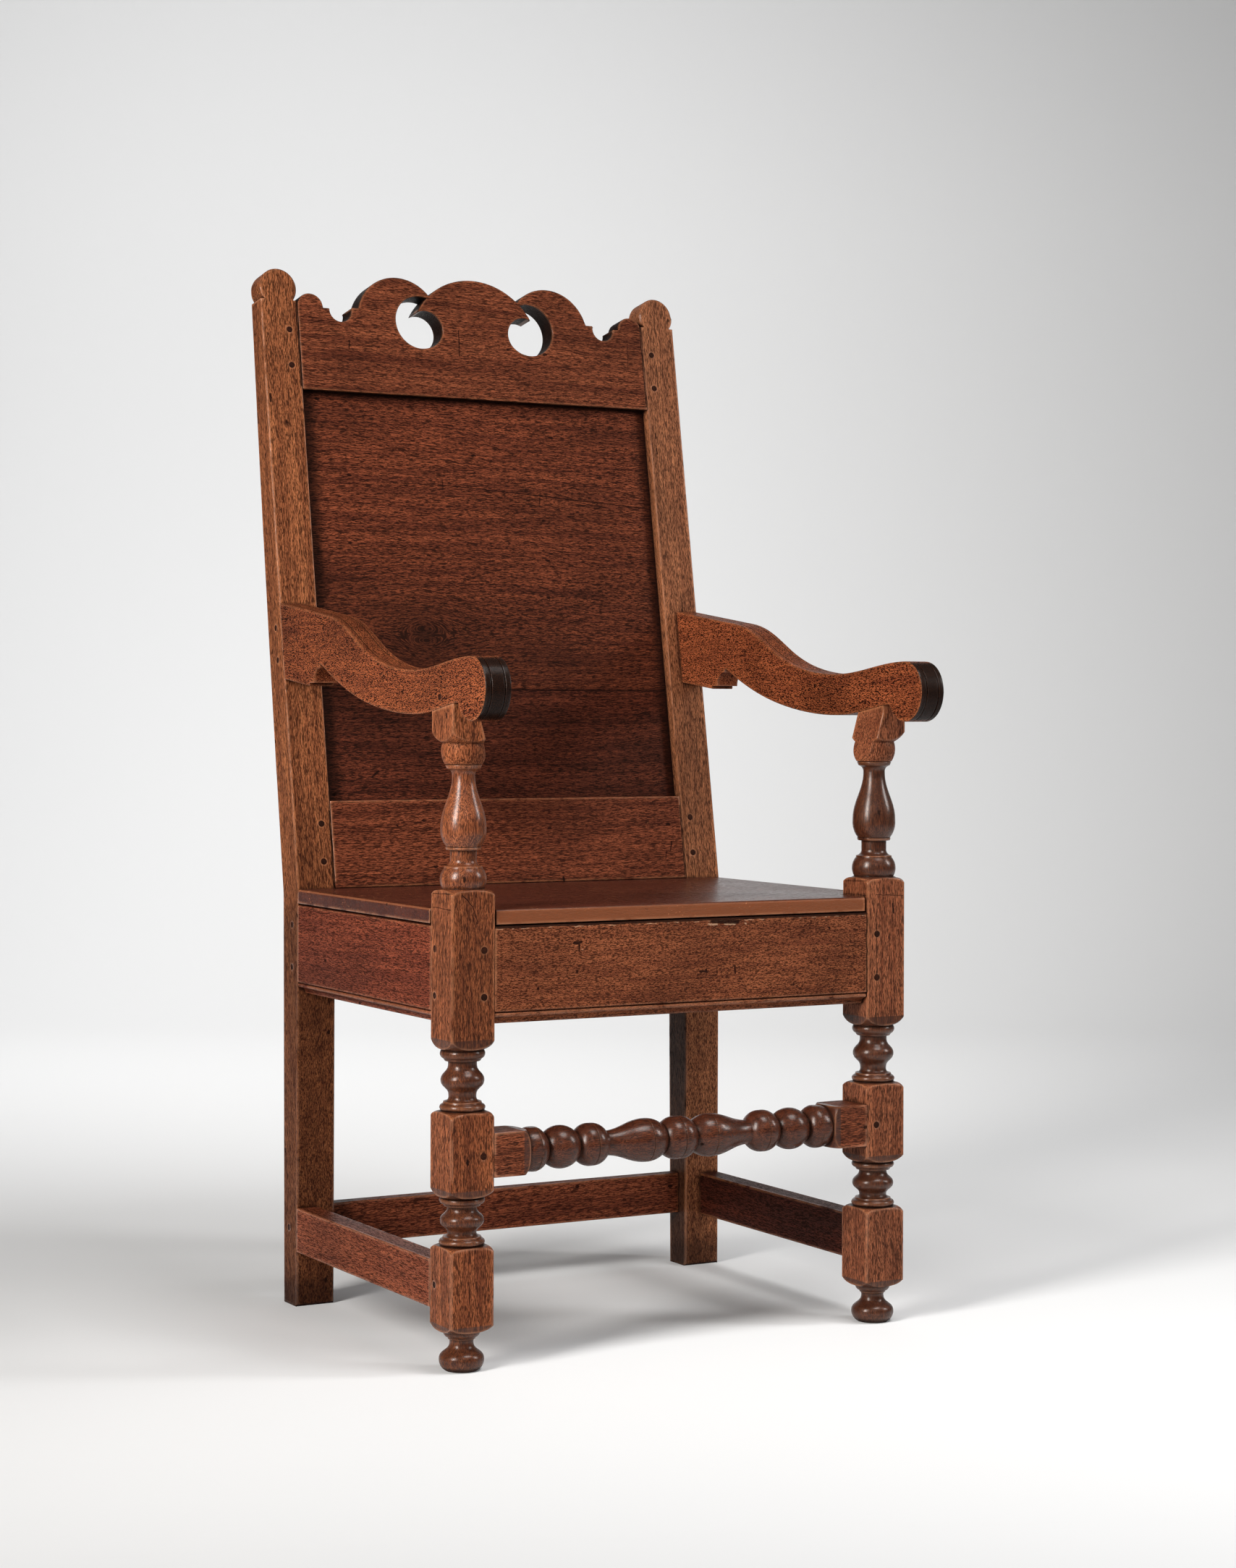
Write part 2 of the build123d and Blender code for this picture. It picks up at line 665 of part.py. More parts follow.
with BuildPart() as crest_rail:
    with BuildSketch(crest_plane):
        with Locations((0, -crest_depth)):
            Rectangle(2 * rear_inside, crest_depth, align=(Align.CENTER, Align.MIN))
            inner_height = inner_step[1] + crest_depth
            Rectangle(2 * inner_step[0], inner_height, align=(Align.CENTER, Align.MIN))
        with Locations(centre_lobe):
            Circle(centre_lobe_radius)
        for side in (-1, 1):
            with Locations((side * big_lobe[0], big_lobe[1])):
                Circle(big_lobe_radius)
            small_lobe = rear_inside + small_lobe_overlap - small_lobe_radius
            with Locations((side * small_lobe, small_lobe_rise)):
                Circle(small_lobe_radius)
            with Locations((side * scoop[0], scoop[1])):
                Circle(scoop_radius, mode=Mode.SUBTRACT)
        with Locations((0, -crest_depth)):
            Rectangle(
                2 * rear_inside,
                crest_depth + 2 * centre_lobe_radius,
                align=(Align.CENTER, Align.MIN),
                mode=Mode.INTERSECT,
            )
        add(piercing_outline.sketch, mode=Mode.SUBTRACT)
        add(mirror(piercing_outline.sketch, about=Plane.YZ, mode=Mode.PRIVATE), mode=Mode.SUBTRACT)
    extrude(amount=-frame_thickness)
    # Groove for the top of the panel.
    block(
        back_plane,
        (-rear_inside - overcut, rear_inside + overcut),
        (crest_bottom - overcut, crest_bottom + groove_depth),
        (-panel_recess - panel_thickness - panel_play, -panel_recess),
        Mode.SUBTRACT,
    )
    for side in (-1, 1):
        crest_tenon(side)
    bores(back_plane, both_sides(crest_peg_places))

# ---------------------------------------------------------------- lower back rail and panel

with BuildPart() as lower_back_rail:
    block(
        back_plane,
        (-rear_inside, rear_inside),
        (-frame_thickness, lower_rail_height),
        (-frame_thickness, 0),
    )
    # The lower edge is planed level and sits flat on the seat board.
    split(bisect_by=Plane.XY.offset(seat_height), keep=Keep.TOP)
    block(
        back_plane,
        (-rear_inside - overcut, rear_inside + overcut),
        (lower_rail_height - groove_depth, lower_rail_height + overcut),
        (-panel_recess - panel_thickness - panel_play, -panel_recess),
        Mode.SUBTRACT,
    )
    for side in (-1, 1):
        lower_rail_tenon(side)
    bores(back_plane, both_sides(lower_rail_peg_places))

panel_half_width = rear_inside + groove_depth - panel_play
panel_faces = (-panel_recess - panel_thickness, -panel_recess)

with BuildPart() as back_panel_lower_board:
    low_edge = lower_rail_height - groove_depth + panel_play
    block(back_plane, (-panel_half_width, panel_half_width), (low_edge, board_joint), panel_faces)

with BuildPart() as back_panel_upper_board:
    high_edge = crest_bottom + groove_depth - panel_play
    block(
        back_plane,
        (-panel_half_width, panel_half_width),
        (board_joint + board_gap, high_edge),
        panel_faces,
    )

# ---------------------------------------------------------------- seat board


def seat_pin_bores():
    """Bores for the pins, through the board and down into the rails."""
    dowels(
        Plane.XY.offset(seat_height),
        both_sides(seat_pin_places),
        pin_length + joint_end_play,
        pin_radius + peg_fit,
        overcut,
        Mode.SUBTRACT,
    )


with BuildPart() as seat_board:
    with BuildSketch(Plane.XY.offset(seat_underside)):
        with Locations((0, front + seat_front_setback)):
            Rectangle(overall_width, rear - front - seat_front_setback, align=(Align.CENTER, Align.MIN))
        with Locations((0, rear)):
            Rectangle(
                2 * (rear_inside - panel_play), seat_behind_posts, align=(Align.CENTER, Align.MIN)
            )
        # Notches round the front posts.
        for side in (-1, 1):
            with Locations((side * post_axis[0], post_axis[1])):
                Rectangle(front_stock + 2 * notch_gap, front_stock + 2 * notch_gap, mode=Mode.SUBTRACT)
    extrude(amount=seat_thickness)
    top_edges = seat_board.faces().sort_by(Axis.Z)[-1].edges()
    front_edge = top_edges.sort_by(Axis.Y)[0]
    side_edges = [top_edges.sort_by(Axis.X)[0], top_edges.sort_by(Axis.X)[-1]]
    fillet([front_edge, *side_edges], seat_edge_rounding)
    seat_pin_bores()

# ---------------------------------------------------------------- seat rails


def moulded_rail(plane, length):
    """Rail with a bevelled top and a quirk, bead and cove run along its lower outer edge.

    The plane's x runs in from the outer face and its normal runs along the rail.
    """
    moulding_top = rail_bottom + moulding_height
    bead_high = moulding_top - 0.7
    bead_low = moulding_top - 5.0
    with BuildSketch(plane) as section:
        with BuildLine():
            Polyline(
                (quirk + 0.5, bead_high),
                (quirk + 0.5, moulding_top),
                (0, moulding_top),
                (0, seat_underside - rail_bevel_drop),
                (rail_bevel_depth, seat_underside),
                (rail_thickness, seat_underside),
                (rail_thickness, rail_bottom),
                (moulding_depth, rail_bottom),
            )
            SagittaArc((moulding_depth, rail_bottom), (quirk + 2.0, bead_low - 0.6), -1.6)
            Polyline((quirk + 2.0, bead_low - 0.6), (quirk + 2.0, bead_low), (quirk + 0.5, bead_low))
            SagittaArc((quirk + 0.5, bead_low), (quirk + 0.5, bead_high), 1.5)
        make_face()
    extrude(section.sketch, amount=length)


with BuildPart() as front_seat_rail:
    moulded_rail(
        Plane(origin=(-post_inside, front, 0), x_dir=(0, 1, 0), z_dir=(1, 0, 0)), 2 * post_inside
    )
    for side in (-1, 1):
        front_rail_tenon(side)
    bores(front_face, both_sides(front_rail_pegs))
    seat_pin_bores()

with BuildPart() as side_seat_rail_right:
    moulded_rail(
        Plane(origin=(half_width, post_back, 0), x_dir=(-1, 0, 0), z_dir=(0, 1, 0)),
        rear - post_back,
    )
    side_tenons(*rail_tenon_heights)
    bores(right_face, side_rail_front_peg_places)
    bores(right_face, side_rail_rear_peg_places)
    seat_pin_bores()

with BuildPart() as rear_seat_rail:
    block(
        rear_face,
        (-rear_inside, rear_inside),
        (rail_bottom, seat_underside),
        (rear - rear_rail_front - rail_thickness, rear - rear_rail_front),
    )
    for side in (-1, 1):
        rear_rail_tenon(side)
    for place in both_sides(rear_rail_peg_places):
        bores(back_face(place[1]), [(-place[0], place[1])], rear_peg_length)

# ---------------------------------------------------------------- stretchers

with BuildPart() as side_stretcher_right:
    end_plane = Plane(origin=(half_width, post_back, 0), x_dir=(-1, 0, 0), z_dir=(0, 1, 0))
    with BuildSketch(end_plane):
        with Locations((side_stretcher_thickness / 2, stretcher_peg_height)):
            RectangleRounded(side_stretcher_thickness, side_stretcher_height, arris)
    extrude(amount=rear - post_back)
    side_tenons(*side_stretcher_tenon_heights)
    bores(right_face, side_stretcher_peg_places)

with BuildPart() as rear_stretcher:
    block(
        rear_face,
        (-rear_inside, rear_inside),
        (rear_stretcher_low, rear_stretcher_low + rear_stretcher_height),
        (-rear_stretcher_setback - rear_stretcher_thickness, -rear_stretcher_setback),
    )
    for side in (-1, 1):
        rear_stretcher_tenon(side)
    for place in both_sides(rear_stretcher_peg_places):
        bores(back_face(place[1]), [(-place[0], place[1])], rear_peg_length)

stretcher_corner = front_stretcher_stock / math.sqrt(2)
stretcher_plane = Plane(
    origin=(0, front + front_stretcher_stock / 2, front_stretcher_axis),
    x_dir=(0, 0, 1),
    z_dir=(0, 1, 0),
)

with BuildPart() as front_stretcher:
    block(
        front_face,
        (0, post_inside),
        (
            front_stretcher_axis - front_stretcher_stock / 2,
            front_stretcher_axis + front_stretcher_stock / 2,
        ),
        (-front_stretcher_stock, 0),
    )
    with BuildSketch(stretcher_plane):
        with BuildLine():
            # Half of the turning, outwards from the bead in the middle: vase, bead, ball, half bead
            # and the shoulder of the square block. A fine line runs round the crown of each bead.
            line_bottom = middle_bead_radius - line_depth
            Line((0, 0), (line_bottom, 0))
            turned_run(line_bottom, 0.0, front_stretcher_block, [
                (line_half_width, middle_bead_radius, 0),
                (16.4, 15.4, 2.2),
                (0.5, 14.2, 0),
                (19.6, 22.0, 2.0),
                (line_half_width, 22.0 - line_depth, 0),
                (line_half_width, 22.0, 0),
                (None, 12.4, None),
                (16.0, 21.4, 2.6),
                (line_half_width, 21.4 - line_depth, 0),
                (line_half_width, 21.4, 0),
                (15.9, 13.4, 2.6),
                (0.5, 13.0, 0),
                (35.6, 13.4, 8.4),
                (0.5, 13.0, 0),
                (11.6, 22.4, 2.0),
                (line_half_width, 22.4 - line_depth, 0),
                (line_half_width, 22.4, 0),
                (12.2, 20.0, 0.7),
                (7.6, stretcher_corner, 2.0),
            ])
            square_zone(stretcher_corner, front_stretcher_block, post_inside)
            Polyline((stretcher_corner, post_inside), (0, post_inside), (0, 0))
        make_face()
    revolve(
        axis=Axis((0, front + front_stretcher_stock / 2, front_stretcher_axis), (1, 0, 0)),
        mode=Mode.INTERSECT,
    )
    front_stretcher_tenon(1)
    bores(front_face, front_stretcher_peg, front_stretcher_peg_length)
    mirror(about=Plane.YZ)

# ---------------------------------------------------------------- arms

scroll_centre = (front + scroll_radius - scroll_overhang, arm_low_top - scroll_drop)
notch_turn = math.radians(-25.0)
bend = (rear - arm_bend[0], arm_low_top + arm_bend[1])
apex = (rear - arm_apex[0], arm_low_top + arm_apex[1])
cove_centre = (rear - cove_centre_inset[0], arm_low_top + cove_centre_inset[1])
bracket_low = (rear - bracket_fillet[0], cove_centre[1] - bracket_fillet[1])


def arm_slice(start, width, sunk=0.0):
    """Slice of the right arm's thickness, its top edge and scroll sunk below the arm's own."""
    rear_top = (raked_y(arm_rear_high - sunk), arm_rear_high - sunk)
    bend_top = (bend[0], bend[1] - sunk)
    slope = (bend_top[0] - rear_top[0], bend_top[1] - rear_top[1])
    dip = (front + arm_dip, arm_low_top - sunk)
    reach = scroll_radius - sunk
    scroll_top = (scroll_centre[0], scroll_centre[1] + reach)
    scroll_nose = (scroll_centre[0] - reach, scroll_centre[1])
    notch = (
        scroll_centre[0] + reach * math.cos(notch_turn),
        scroll_centre[1] + reach * math.sin(notch_turn),
    )
    seat_end = (post_back, arm_seat(post_back))
    with BuildSketch(Plane(origin=(start, 0, 0), x_dir=(0, 1, 0), z_dir=(1, 0, 0))) as outline:
        with BuildLine():
            # Top edge: straight from the rear post, down in a long sweep, up over the scroll.
            Line(rear_top, bend_top)
            swoop = (front + arm_swoop[0], arm_low_top + arm_swoop[1] - sunk)
            Spline(bend_top, swoop, dip, tangents=(slope, (-1, 0)))
            Spline(dip, scroll_top, tangents=((-1, 0), (-1, 0)))
            ThreePointArc(scroll_top, scroll_nose, notch)
            # Underside: straight over the front post, then one long curve up to the bracket.
            Polyline(notch, (front, arm_seat(front)), seat_end)
            Spline(
                seat_end,
                (front + arm_belly[0], arm_low_top + arm_belly[1]),
                (front + arm_hollow[0], arm_low_top + arm_hollow[1]),
                apex,
                tangents=((1, -arm_seat_slope), (2.0, 1.0)),
            )
            # Bracket against the rear post: step, cove, fillet and a slope back to the post.
            cove_top = (cove_centre[0], cove_centre[1] + cove_radius)
            cove_end = (cove_centre[0] + cove_radius, cove_centre[1])
            Line(apex, cove_top)
            RadiusArc(cove_top, cove_end, cove_radius)
            Polyline(
                cove_end,
                (bracket_low[0], cove_centre[1]),
                bracket_low,
                (raked_y(arm_rear_low), arm_rear_low),
                rear_top,
            )
        make_face()
    extrude(outline.sketch, amount=width)


with BuildPart() as arm_right:
    # Two incised lines run along the top of the arm and round its scroll, so the arm is built of
    # three full slices with two slightly lower ones between them.
    line_starts = (
        arm_inside + incised_line_inset,
        half_width - incised_line_inset - incised_line_width,
    )
    land_starts = (arm_inside, *(start + incised_line_width for start in line_starts))
    for start, end in zip(land_starts, (*line_starts, half_width)):
        arm_slice(start, end - start)
    for start in line_starts:
        arm_slice(start, incised_line_width, incised_line_depth)
    arm_rear_tenon()
    support_tenon(joint_play)
    bores(right_face, arm_front_peg_places, arm_peg_length)
    bores(raked_side, arm_rear_peg_places)

# ---------------------------------------------------------------- pegs and seat pins

with BuildPart() as crest_rail_pegs:
    dowels(back_plane, both_sides(crest_peg_places), peg_length, peg_radius, peg_proud)

with BuildPart() as lower_back_rail_pegs:
    dowels(back_plane, both_sides(lower_rail_peg_places), peg_length, peg_radius, peg_proud)

with BuildPart() as front_seat_rail_pegs:
    dowels(front_face, both_sides(front_rail_pegs), peg_length, peg_radius, peg_proud)

with BuildPart() as front_stretcher_pegs:
    dowels(
        front_face,
        both_sides(front_stretcher_peg),
        front_stretcher_peg_length,
        peg_radius,
        peg_proud,
    )

with BuildPart() as side_seat_rail_front_pegs:
    dowels(right_face, side_rail_front_peg_places, peg_length, peg_radius, -peg_sink)
    mirror(about=Plane.YZ)

with BuildPart() as side_seat_rail_rear_pegs:
    dowels(right_face, side_rail_rear_peg_places, peg_length, peg_radius, -peg_sink)
    mirror(about=Plane.YZ)

with BuildPart() as side_stretcher_pegs:
    dowels(right_face, side_stretcher_peg_places, peg_length, peg_radius, -peg_sink)
    mirror(about=Plane.YZ)

with BuildPart() as arm_front_pegs:
    dowels(right_face, arm_front_peg_places, arm_peg_length, peg_radius, -peg_sink)
    mirror(about=Plane.YZ)

with BuildPart() as arm_rear_pegs:
    dowels(raked_side, arm_rear_peg_places, peg_length, peg_radius, -peg_sink)
    mirror(about=Plane.YZ)

with BuildPart() as rear_seat_rail_pegs:
    for place in both_sides(rear_rail_peg_places):
        dowels(back_face(place[1]), [(-place[0], place[1])], rear_peg_length, peg_radius, -peg_sink)

with BuildPart() as rear_stretcher_pegs:
    for place in both_sides(rear_stretcher_peg_places):
        dowels(back_face(place[1]), [(-place[0], place[1])], rear_peg_length, peg_radius, -peg_sink)

with BuildPart() as seat_pins:
    dowels(
        Plane.XY.offset(seat_height), both_sides(seat_pin_places), pin_length, pin_radius, 0.0
    )

# ---------------------------------------------------------------- mirrored pieces and export

with BuildPart() as front_post_left:
    mirror(front_post_right.part, about=Plane.YZ)

with BuildPart() as rear_post_left:
    mirror(rear_post_right.part, about=Plane.YZ)

with BuildPart() as side_seat_rail_left:
    mirror(side_seat_rail_right.part, about=Plane.YZ)

with BuildPart() as side_stretcher_left:
    mirror(side_stretcher_right.part, about=Plane.YZ)

with BuildPart() as arm_left:
    mirror(arm_right.part, about=Plane.YZ)

pieces = {
    "front_post_left": front_post_left,
    "front_post_right": front_post_right,
    "rear_post_left": rear_post_left,
    "rear_post_right": rear_post_right,
    "crest_rail": crest_rail,
    "lower_back_rail": lower_back_rail,
    "back_panel_upper_board": back_panel_upper_board,
    "back_panel_lower_board": back_panel_lower_board,
    "seat_board": seat_board,
    "front_seat_rail": front_seat_rail,
    "side_seat_rail_left": side_seat_rail_left,
    "side_seat_rail_right": side_seat_rail_right,
    "rear_seat_rail": rear_seat_rail,
    "front_stretcher": front_stretcher,
    "side_stretcher_left": side_stretcher_left,
    "side_stretcher_right": side_stretcher_right,
    "rear_stretcher": rear_stretcher,
    "arm_left": arm_left,
    "arm_right": arm_right,
    "crest_rail_pegs": crest_rail_pegs,
    "lower_back_rail_pegs": lower_back_rail_pegs,
    "arm_front_pegs": arm_front_pegs,
    "arm_rear_pegs": arm_rear_pegs,
    "front_seat_rail_pegs": front_seat_rail_pegs,
    "side_seat_rail_front_pegs": side_seat_rail_front_pegs,
    "side_seat_rail_rear_pegs": side_seat_rail_rear_pegs,
    "rear_seat_rail_pegs": rear_seat_rail_pegs,
    "front_stretcher_pegs": front_stretcher_pegs,
    "side_stretcher_pegs": side_stretcher_pegs,
    "rear_stretcher_pegs": rear_stretcher_pegs,
    "seat_pins": seat_pins,
}

for name, piece in pieces.items():
    piece.part.label = name
    export_step(piece.part, f"parts/{name}.step")
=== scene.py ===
import json
import math

import bpy
import bmesh
from mathutils import Matrix, Vector

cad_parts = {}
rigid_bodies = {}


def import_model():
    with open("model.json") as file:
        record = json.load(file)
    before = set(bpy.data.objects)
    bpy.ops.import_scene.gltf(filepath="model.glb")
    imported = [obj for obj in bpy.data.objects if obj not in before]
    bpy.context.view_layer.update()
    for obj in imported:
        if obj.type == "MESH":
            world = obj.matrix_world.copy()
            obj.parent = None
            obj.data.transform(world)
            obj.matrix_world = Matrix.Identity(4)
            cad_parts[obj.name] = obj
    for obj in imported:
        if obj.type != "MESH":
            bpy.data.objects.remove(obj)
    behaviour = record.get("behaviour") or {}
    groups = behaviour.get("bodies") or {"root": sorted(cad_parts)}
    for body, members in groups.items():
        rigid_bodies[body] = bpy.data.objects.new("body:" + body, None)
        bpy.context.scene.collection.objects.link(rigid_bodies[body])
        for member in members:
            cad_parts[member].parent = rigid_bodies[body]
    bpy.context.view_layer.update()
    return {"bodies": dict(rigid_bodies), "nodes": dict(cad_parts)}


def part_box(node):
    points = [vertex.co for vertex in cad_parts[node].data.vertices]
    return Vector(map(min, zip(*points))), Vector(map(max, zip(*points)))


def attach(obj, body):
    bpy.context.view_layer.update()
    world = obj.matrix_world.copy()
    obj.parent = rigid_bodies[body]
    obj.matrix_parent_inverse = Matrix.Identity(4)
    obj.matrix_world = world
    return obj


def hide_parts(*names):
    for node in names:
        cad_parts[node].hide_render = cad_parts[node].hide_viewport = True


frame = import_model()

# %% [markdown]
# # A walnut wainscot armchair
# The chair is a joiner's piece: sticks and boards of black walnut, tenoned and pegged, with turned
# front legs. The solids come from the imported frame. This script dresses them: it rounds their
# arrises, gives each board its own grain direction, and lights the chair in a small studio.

nodes = frame["nodes"]
body = next(iter(frame["bodies"]))
front_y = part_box("front_post_left")[0][1]
print("body", body, "with", len(nodes), "nodes, fronts of the posts at y =", round(front_y, 4))

# %% [markdown]
# ## Camera
# A product photographer stands a little to one side of an armchair, about three metres away, at half
# its height, with a long lens so that the uprights stay upright. The height of the chair in the
# frame is set with the lens shift instead of tilting the camera.

# %% Camera
IMAGE_HEIGHT_PX = 2167
FOCAL_PX = 4051.97
SENSOR_MM = 36.0
AXIS_ABOVE_MIDDLE_PX = 123.15
camera_yaw, camera_pitch, camera_roll = 0.51348, 0.00418, 0.00356
camera_place = (-1.5209, front_y - 2.5505, 0.6482)

forward = Vector((
    math.sin(camera_yaw) * math.cos(camera_pitch),
    math.cos(camera_yaw) * math.cos(camera_pitch),
    math.sin(camera_pitch),
))
level_right = Vector((math.cos(camera_yaw), -math.sin(camera_yaw), 0))
level_up = level_right.cross(forward)
right = math.cos(camera_roll) * level_right + math.sin(camera_roll) * level_up
up = -math.sin(camera_roll) * level_right + math.cos(camera_roll) * level_up

camera_data = bpy.data.cameras.new("camera")
camera_data.sensor_width = SENSOR_MM
camera_data.lens = FOCAL_PX * SENSOR_MM / IMAGE_HEIGHT_PX
camera_data.shift_y = -AXIS_ABOVE_MIDDLE_PX / IMAGE_HEIGHT_PX
camera = bpy.data.objects.new("camera", camera_data)
bpy.context.scene.collection.objects.link(camera)
camera.matrix_world = Matrix.Translation(camera_place) @ Matrix((
    (right.x, up.x, -forward.x),
    (right.y, up.y, -forward.y),
    (right.z, up.z, -forward.z),
)).to_4x4()
bpy.context.scene.camera = camera
print("lens", round(camera_data.lens, 2), "mm, shift", round(camera_data.shift_y, 4))

# %% [markdown]
# ## Studio
# The chair stands on a wide roll of pale paper that curves up behind it, so there is no corner.
# A plane is the start: its far edge is extruded upwards, and the fold is beveled into a wide curve.
# The roll stops a little way in front of the chair, because paper all round would throw a milky
# veil over the polish.

# %% Picking edges
def pick_edges(piece, wanted):
    """In edit mode, select only the edges whose middle answers yes to wanted."""
    bpy.ops.mesh.select_mode(type="EDGE")
    bpy.ops.mesh.select_all(action="DESELECT")
    shape = bmesh.from_edit_mesh(piece.data)
    for edge in shape.edges:
        middle = (edge.verts[0].co + edge.verts[1].co) / 2
        edge.select_set(bool(wanted(middle)))
    bmesh.update_edit_mesh(piece.data)


# %% Paper sweep
PAPER_WIDTH = 8.0
PAPER_FRONT = 2.8
PAPER_BACK = 4.6
PAPER_HEIGHT = 5.0
PAPER_CURVE = 1.9
PAPER_FOLD_STEPS = 24


def paper_sweep():
    """Floor and backdrop in one sheet, curved where it rises."""
    bpy.ops.object.select_all(action="DESELECT")
    bpy.ops.mesh.primitive_plane_add(size=1, location=(0, (PAPER_BACK - PAPER_FRONT) / 2, 0))
    sheet = bpy.context.object
    sheet.name = "paper_sweep"
    sheet.scale = (PAPER_WIDTH, PAPER_BACK + PAPER_FRONT, 1)
    bpy.ops.object.transform_apply(location=True, rotation=True, scale=True)
    bpy.ops.object.mode_set(mode="EDIT")
    pick_edges(sheet, lambda middle: middle.y > PAPER_BACK - 0.01)
    bpy.ops.mesh.extrude_region_move(TRANSFORM_OT_translate={"value": (0, 0, PAPER_HEIGHT)})
    pick_edges(sheet, lambda middle: middle.y > PAPER_BACK - 0.01 and middle.z < 0.01)
    bpy.ops.mesh.bevel(offset=PAPER_CURVE, segments=PAPER_FOLD_STEPS)
    bpy.ops.object.mode_set(mode="OBJECT")
    bpy.ops.object.shade_smooth()
    sheet.rotation_euler.z = -camera_yaw
    bpy.ops.object.transform_apply(location=True, rotation=True, scale=True)
    return sheet


paper = bpy.data.materials.new("pale paper")
paper.use_nodes = True
paper_shader = paper.node_tree.nodes["Principled BSDF"]
paper_shader.inputs["Base Color"].default_value = (0.80, 0.80, 0.80, 1)
paper_shader.inputs["Roughness"].default_value = 0.95
paper_shader.inputs["Specular IOR Level"].default_value = 0.1
sweep = paper_sweep()
sweep.data.materials.append(paper)
print("paper sweep", len(sweep.data.polygons), "strips")

# %% [markdown]
# ## Light
# A tall soft box stands far round to the left, so the left faces are bright, the fronts are only
# grazed, and each upright arris shows it as a long thin line. A smaller one on the right puts the
# second highlight on every turned bead. Their distance and size set how soft the shadows on the
# paper are. A weak fill opens the shadows from in front. The paper has two lamps of its own: one
# hangs over the floor and makes it white there, and one lights the rise behind the chair.

# %% Lights
def soft_box(name, place, target, size, power, spread=180, colour=(1, 1, 1)):
    """Rectangular area light aimed at a point. A grid on its front narrows the spread, in degrees."""
    data = bpy.data.lights.new(name, "AREA")
    data.shape = "RECTANGLE"
    data.size, data.size_y = size
    data.energy = power
    data.spread = math.radians(spread)
    data.color = colour
    lamp = bpy.data.objects.new(name, data)
    bpy.context.scene.collection.objects.link(lamp)
    lamp.location = place
    lamp.rotation_euler = (Vector(target) - Vector(place)).to_track_quat("-Z", "Y").to_euler()
    return lamp


chair_middle = (0, 0, 0.55)
soft_box("key soft box", (-2.2, -0.85, 1.55), (0, 0, 0.8), (0.65, 1.6), 20, 75, (1.0, 0.98, 0.95))
soft_box("second soft box", (2.05, -1.35, 1.6), chair_middle, (0.4, 0.9), 9, 110)
soft_box("front fill", (-0.9, -3.4, 2.2), chair_middle, (1.6, 1.2), 5)
soft_box("overhead pool", (0.55, -1.35, 3.1), (0.55, -1.35, 0), (1.4, 1.4), 26.5, 102)
soft_box("backdrop light", (-0.1, 1.4, 2.8), (1.0, 4.2, 0.5), (2.5, 1.0), 86, 150)

# %% [markdown]
# The air of the studio is dim where it lights the chair, and pale where it is seen past the paper,
# so a view from behind still has a light ground.

# %% Studio air
AIR_SEEN = 0.62
AIR_LIGHT = 0.07
world = bpy.data.worlds.new("studio air")
world.use_nodes = True
air = world.node_tree
seen = air.nodes["Background"]
seen.inputs["Color"].default_value = (AIR_SEEN, AIR_SEEN, AIR_SEEN, 1)
lighting = air.nodes.new("ShaderNodeBackground")
lighting.inputs["Color"].default_value = (AIR_LIGHT, AIR_LIGHT, AIR_LIGHT, 1)
path = air.nodes.new("ShaderNodeLightPath")
choose = air.nodes.new("ShaderNodeMixShader")
air.links.new(path.outputs["Is Camera Ray"], choose.inputs[0])
air.links.new(lighting.outputs[0], choose.inputs[1])
air.links.new(seen.outputs[0], choose.inputs[2])
air.links.new(choose.outputs[0], air.nodes["World Output"].inputs["Surface"])
bpy.context.scene.world = world
bpy.context.scene.view_settings.view_transform = "Standard"
print("air", AIR_LIGHT, "for light,", AIR_SEEN, "for the eye")

# %% [markdown]
# ## Walnut
# Black walnut under old wax: reddish brown, with short dark pores drawn out along the grain. The
# figure is solid, so it runs through each board and shows the right pattern on every face. It is
# built once as a node group whose third axis is the grain, and each board turns it to suit.

# %% Colour helper
def tone(red, green, blue):
    """A screen colour, 0 to 255, as the linear colour that the shader wants."""
    linear = [
        c / 12.92 if c <= 0.04045 else ((c + 0.055) / 1.055) ** 2.4
        for c in (red / 255, green / 255, blue / 255)
    ]
    return (*linear, 1.0)


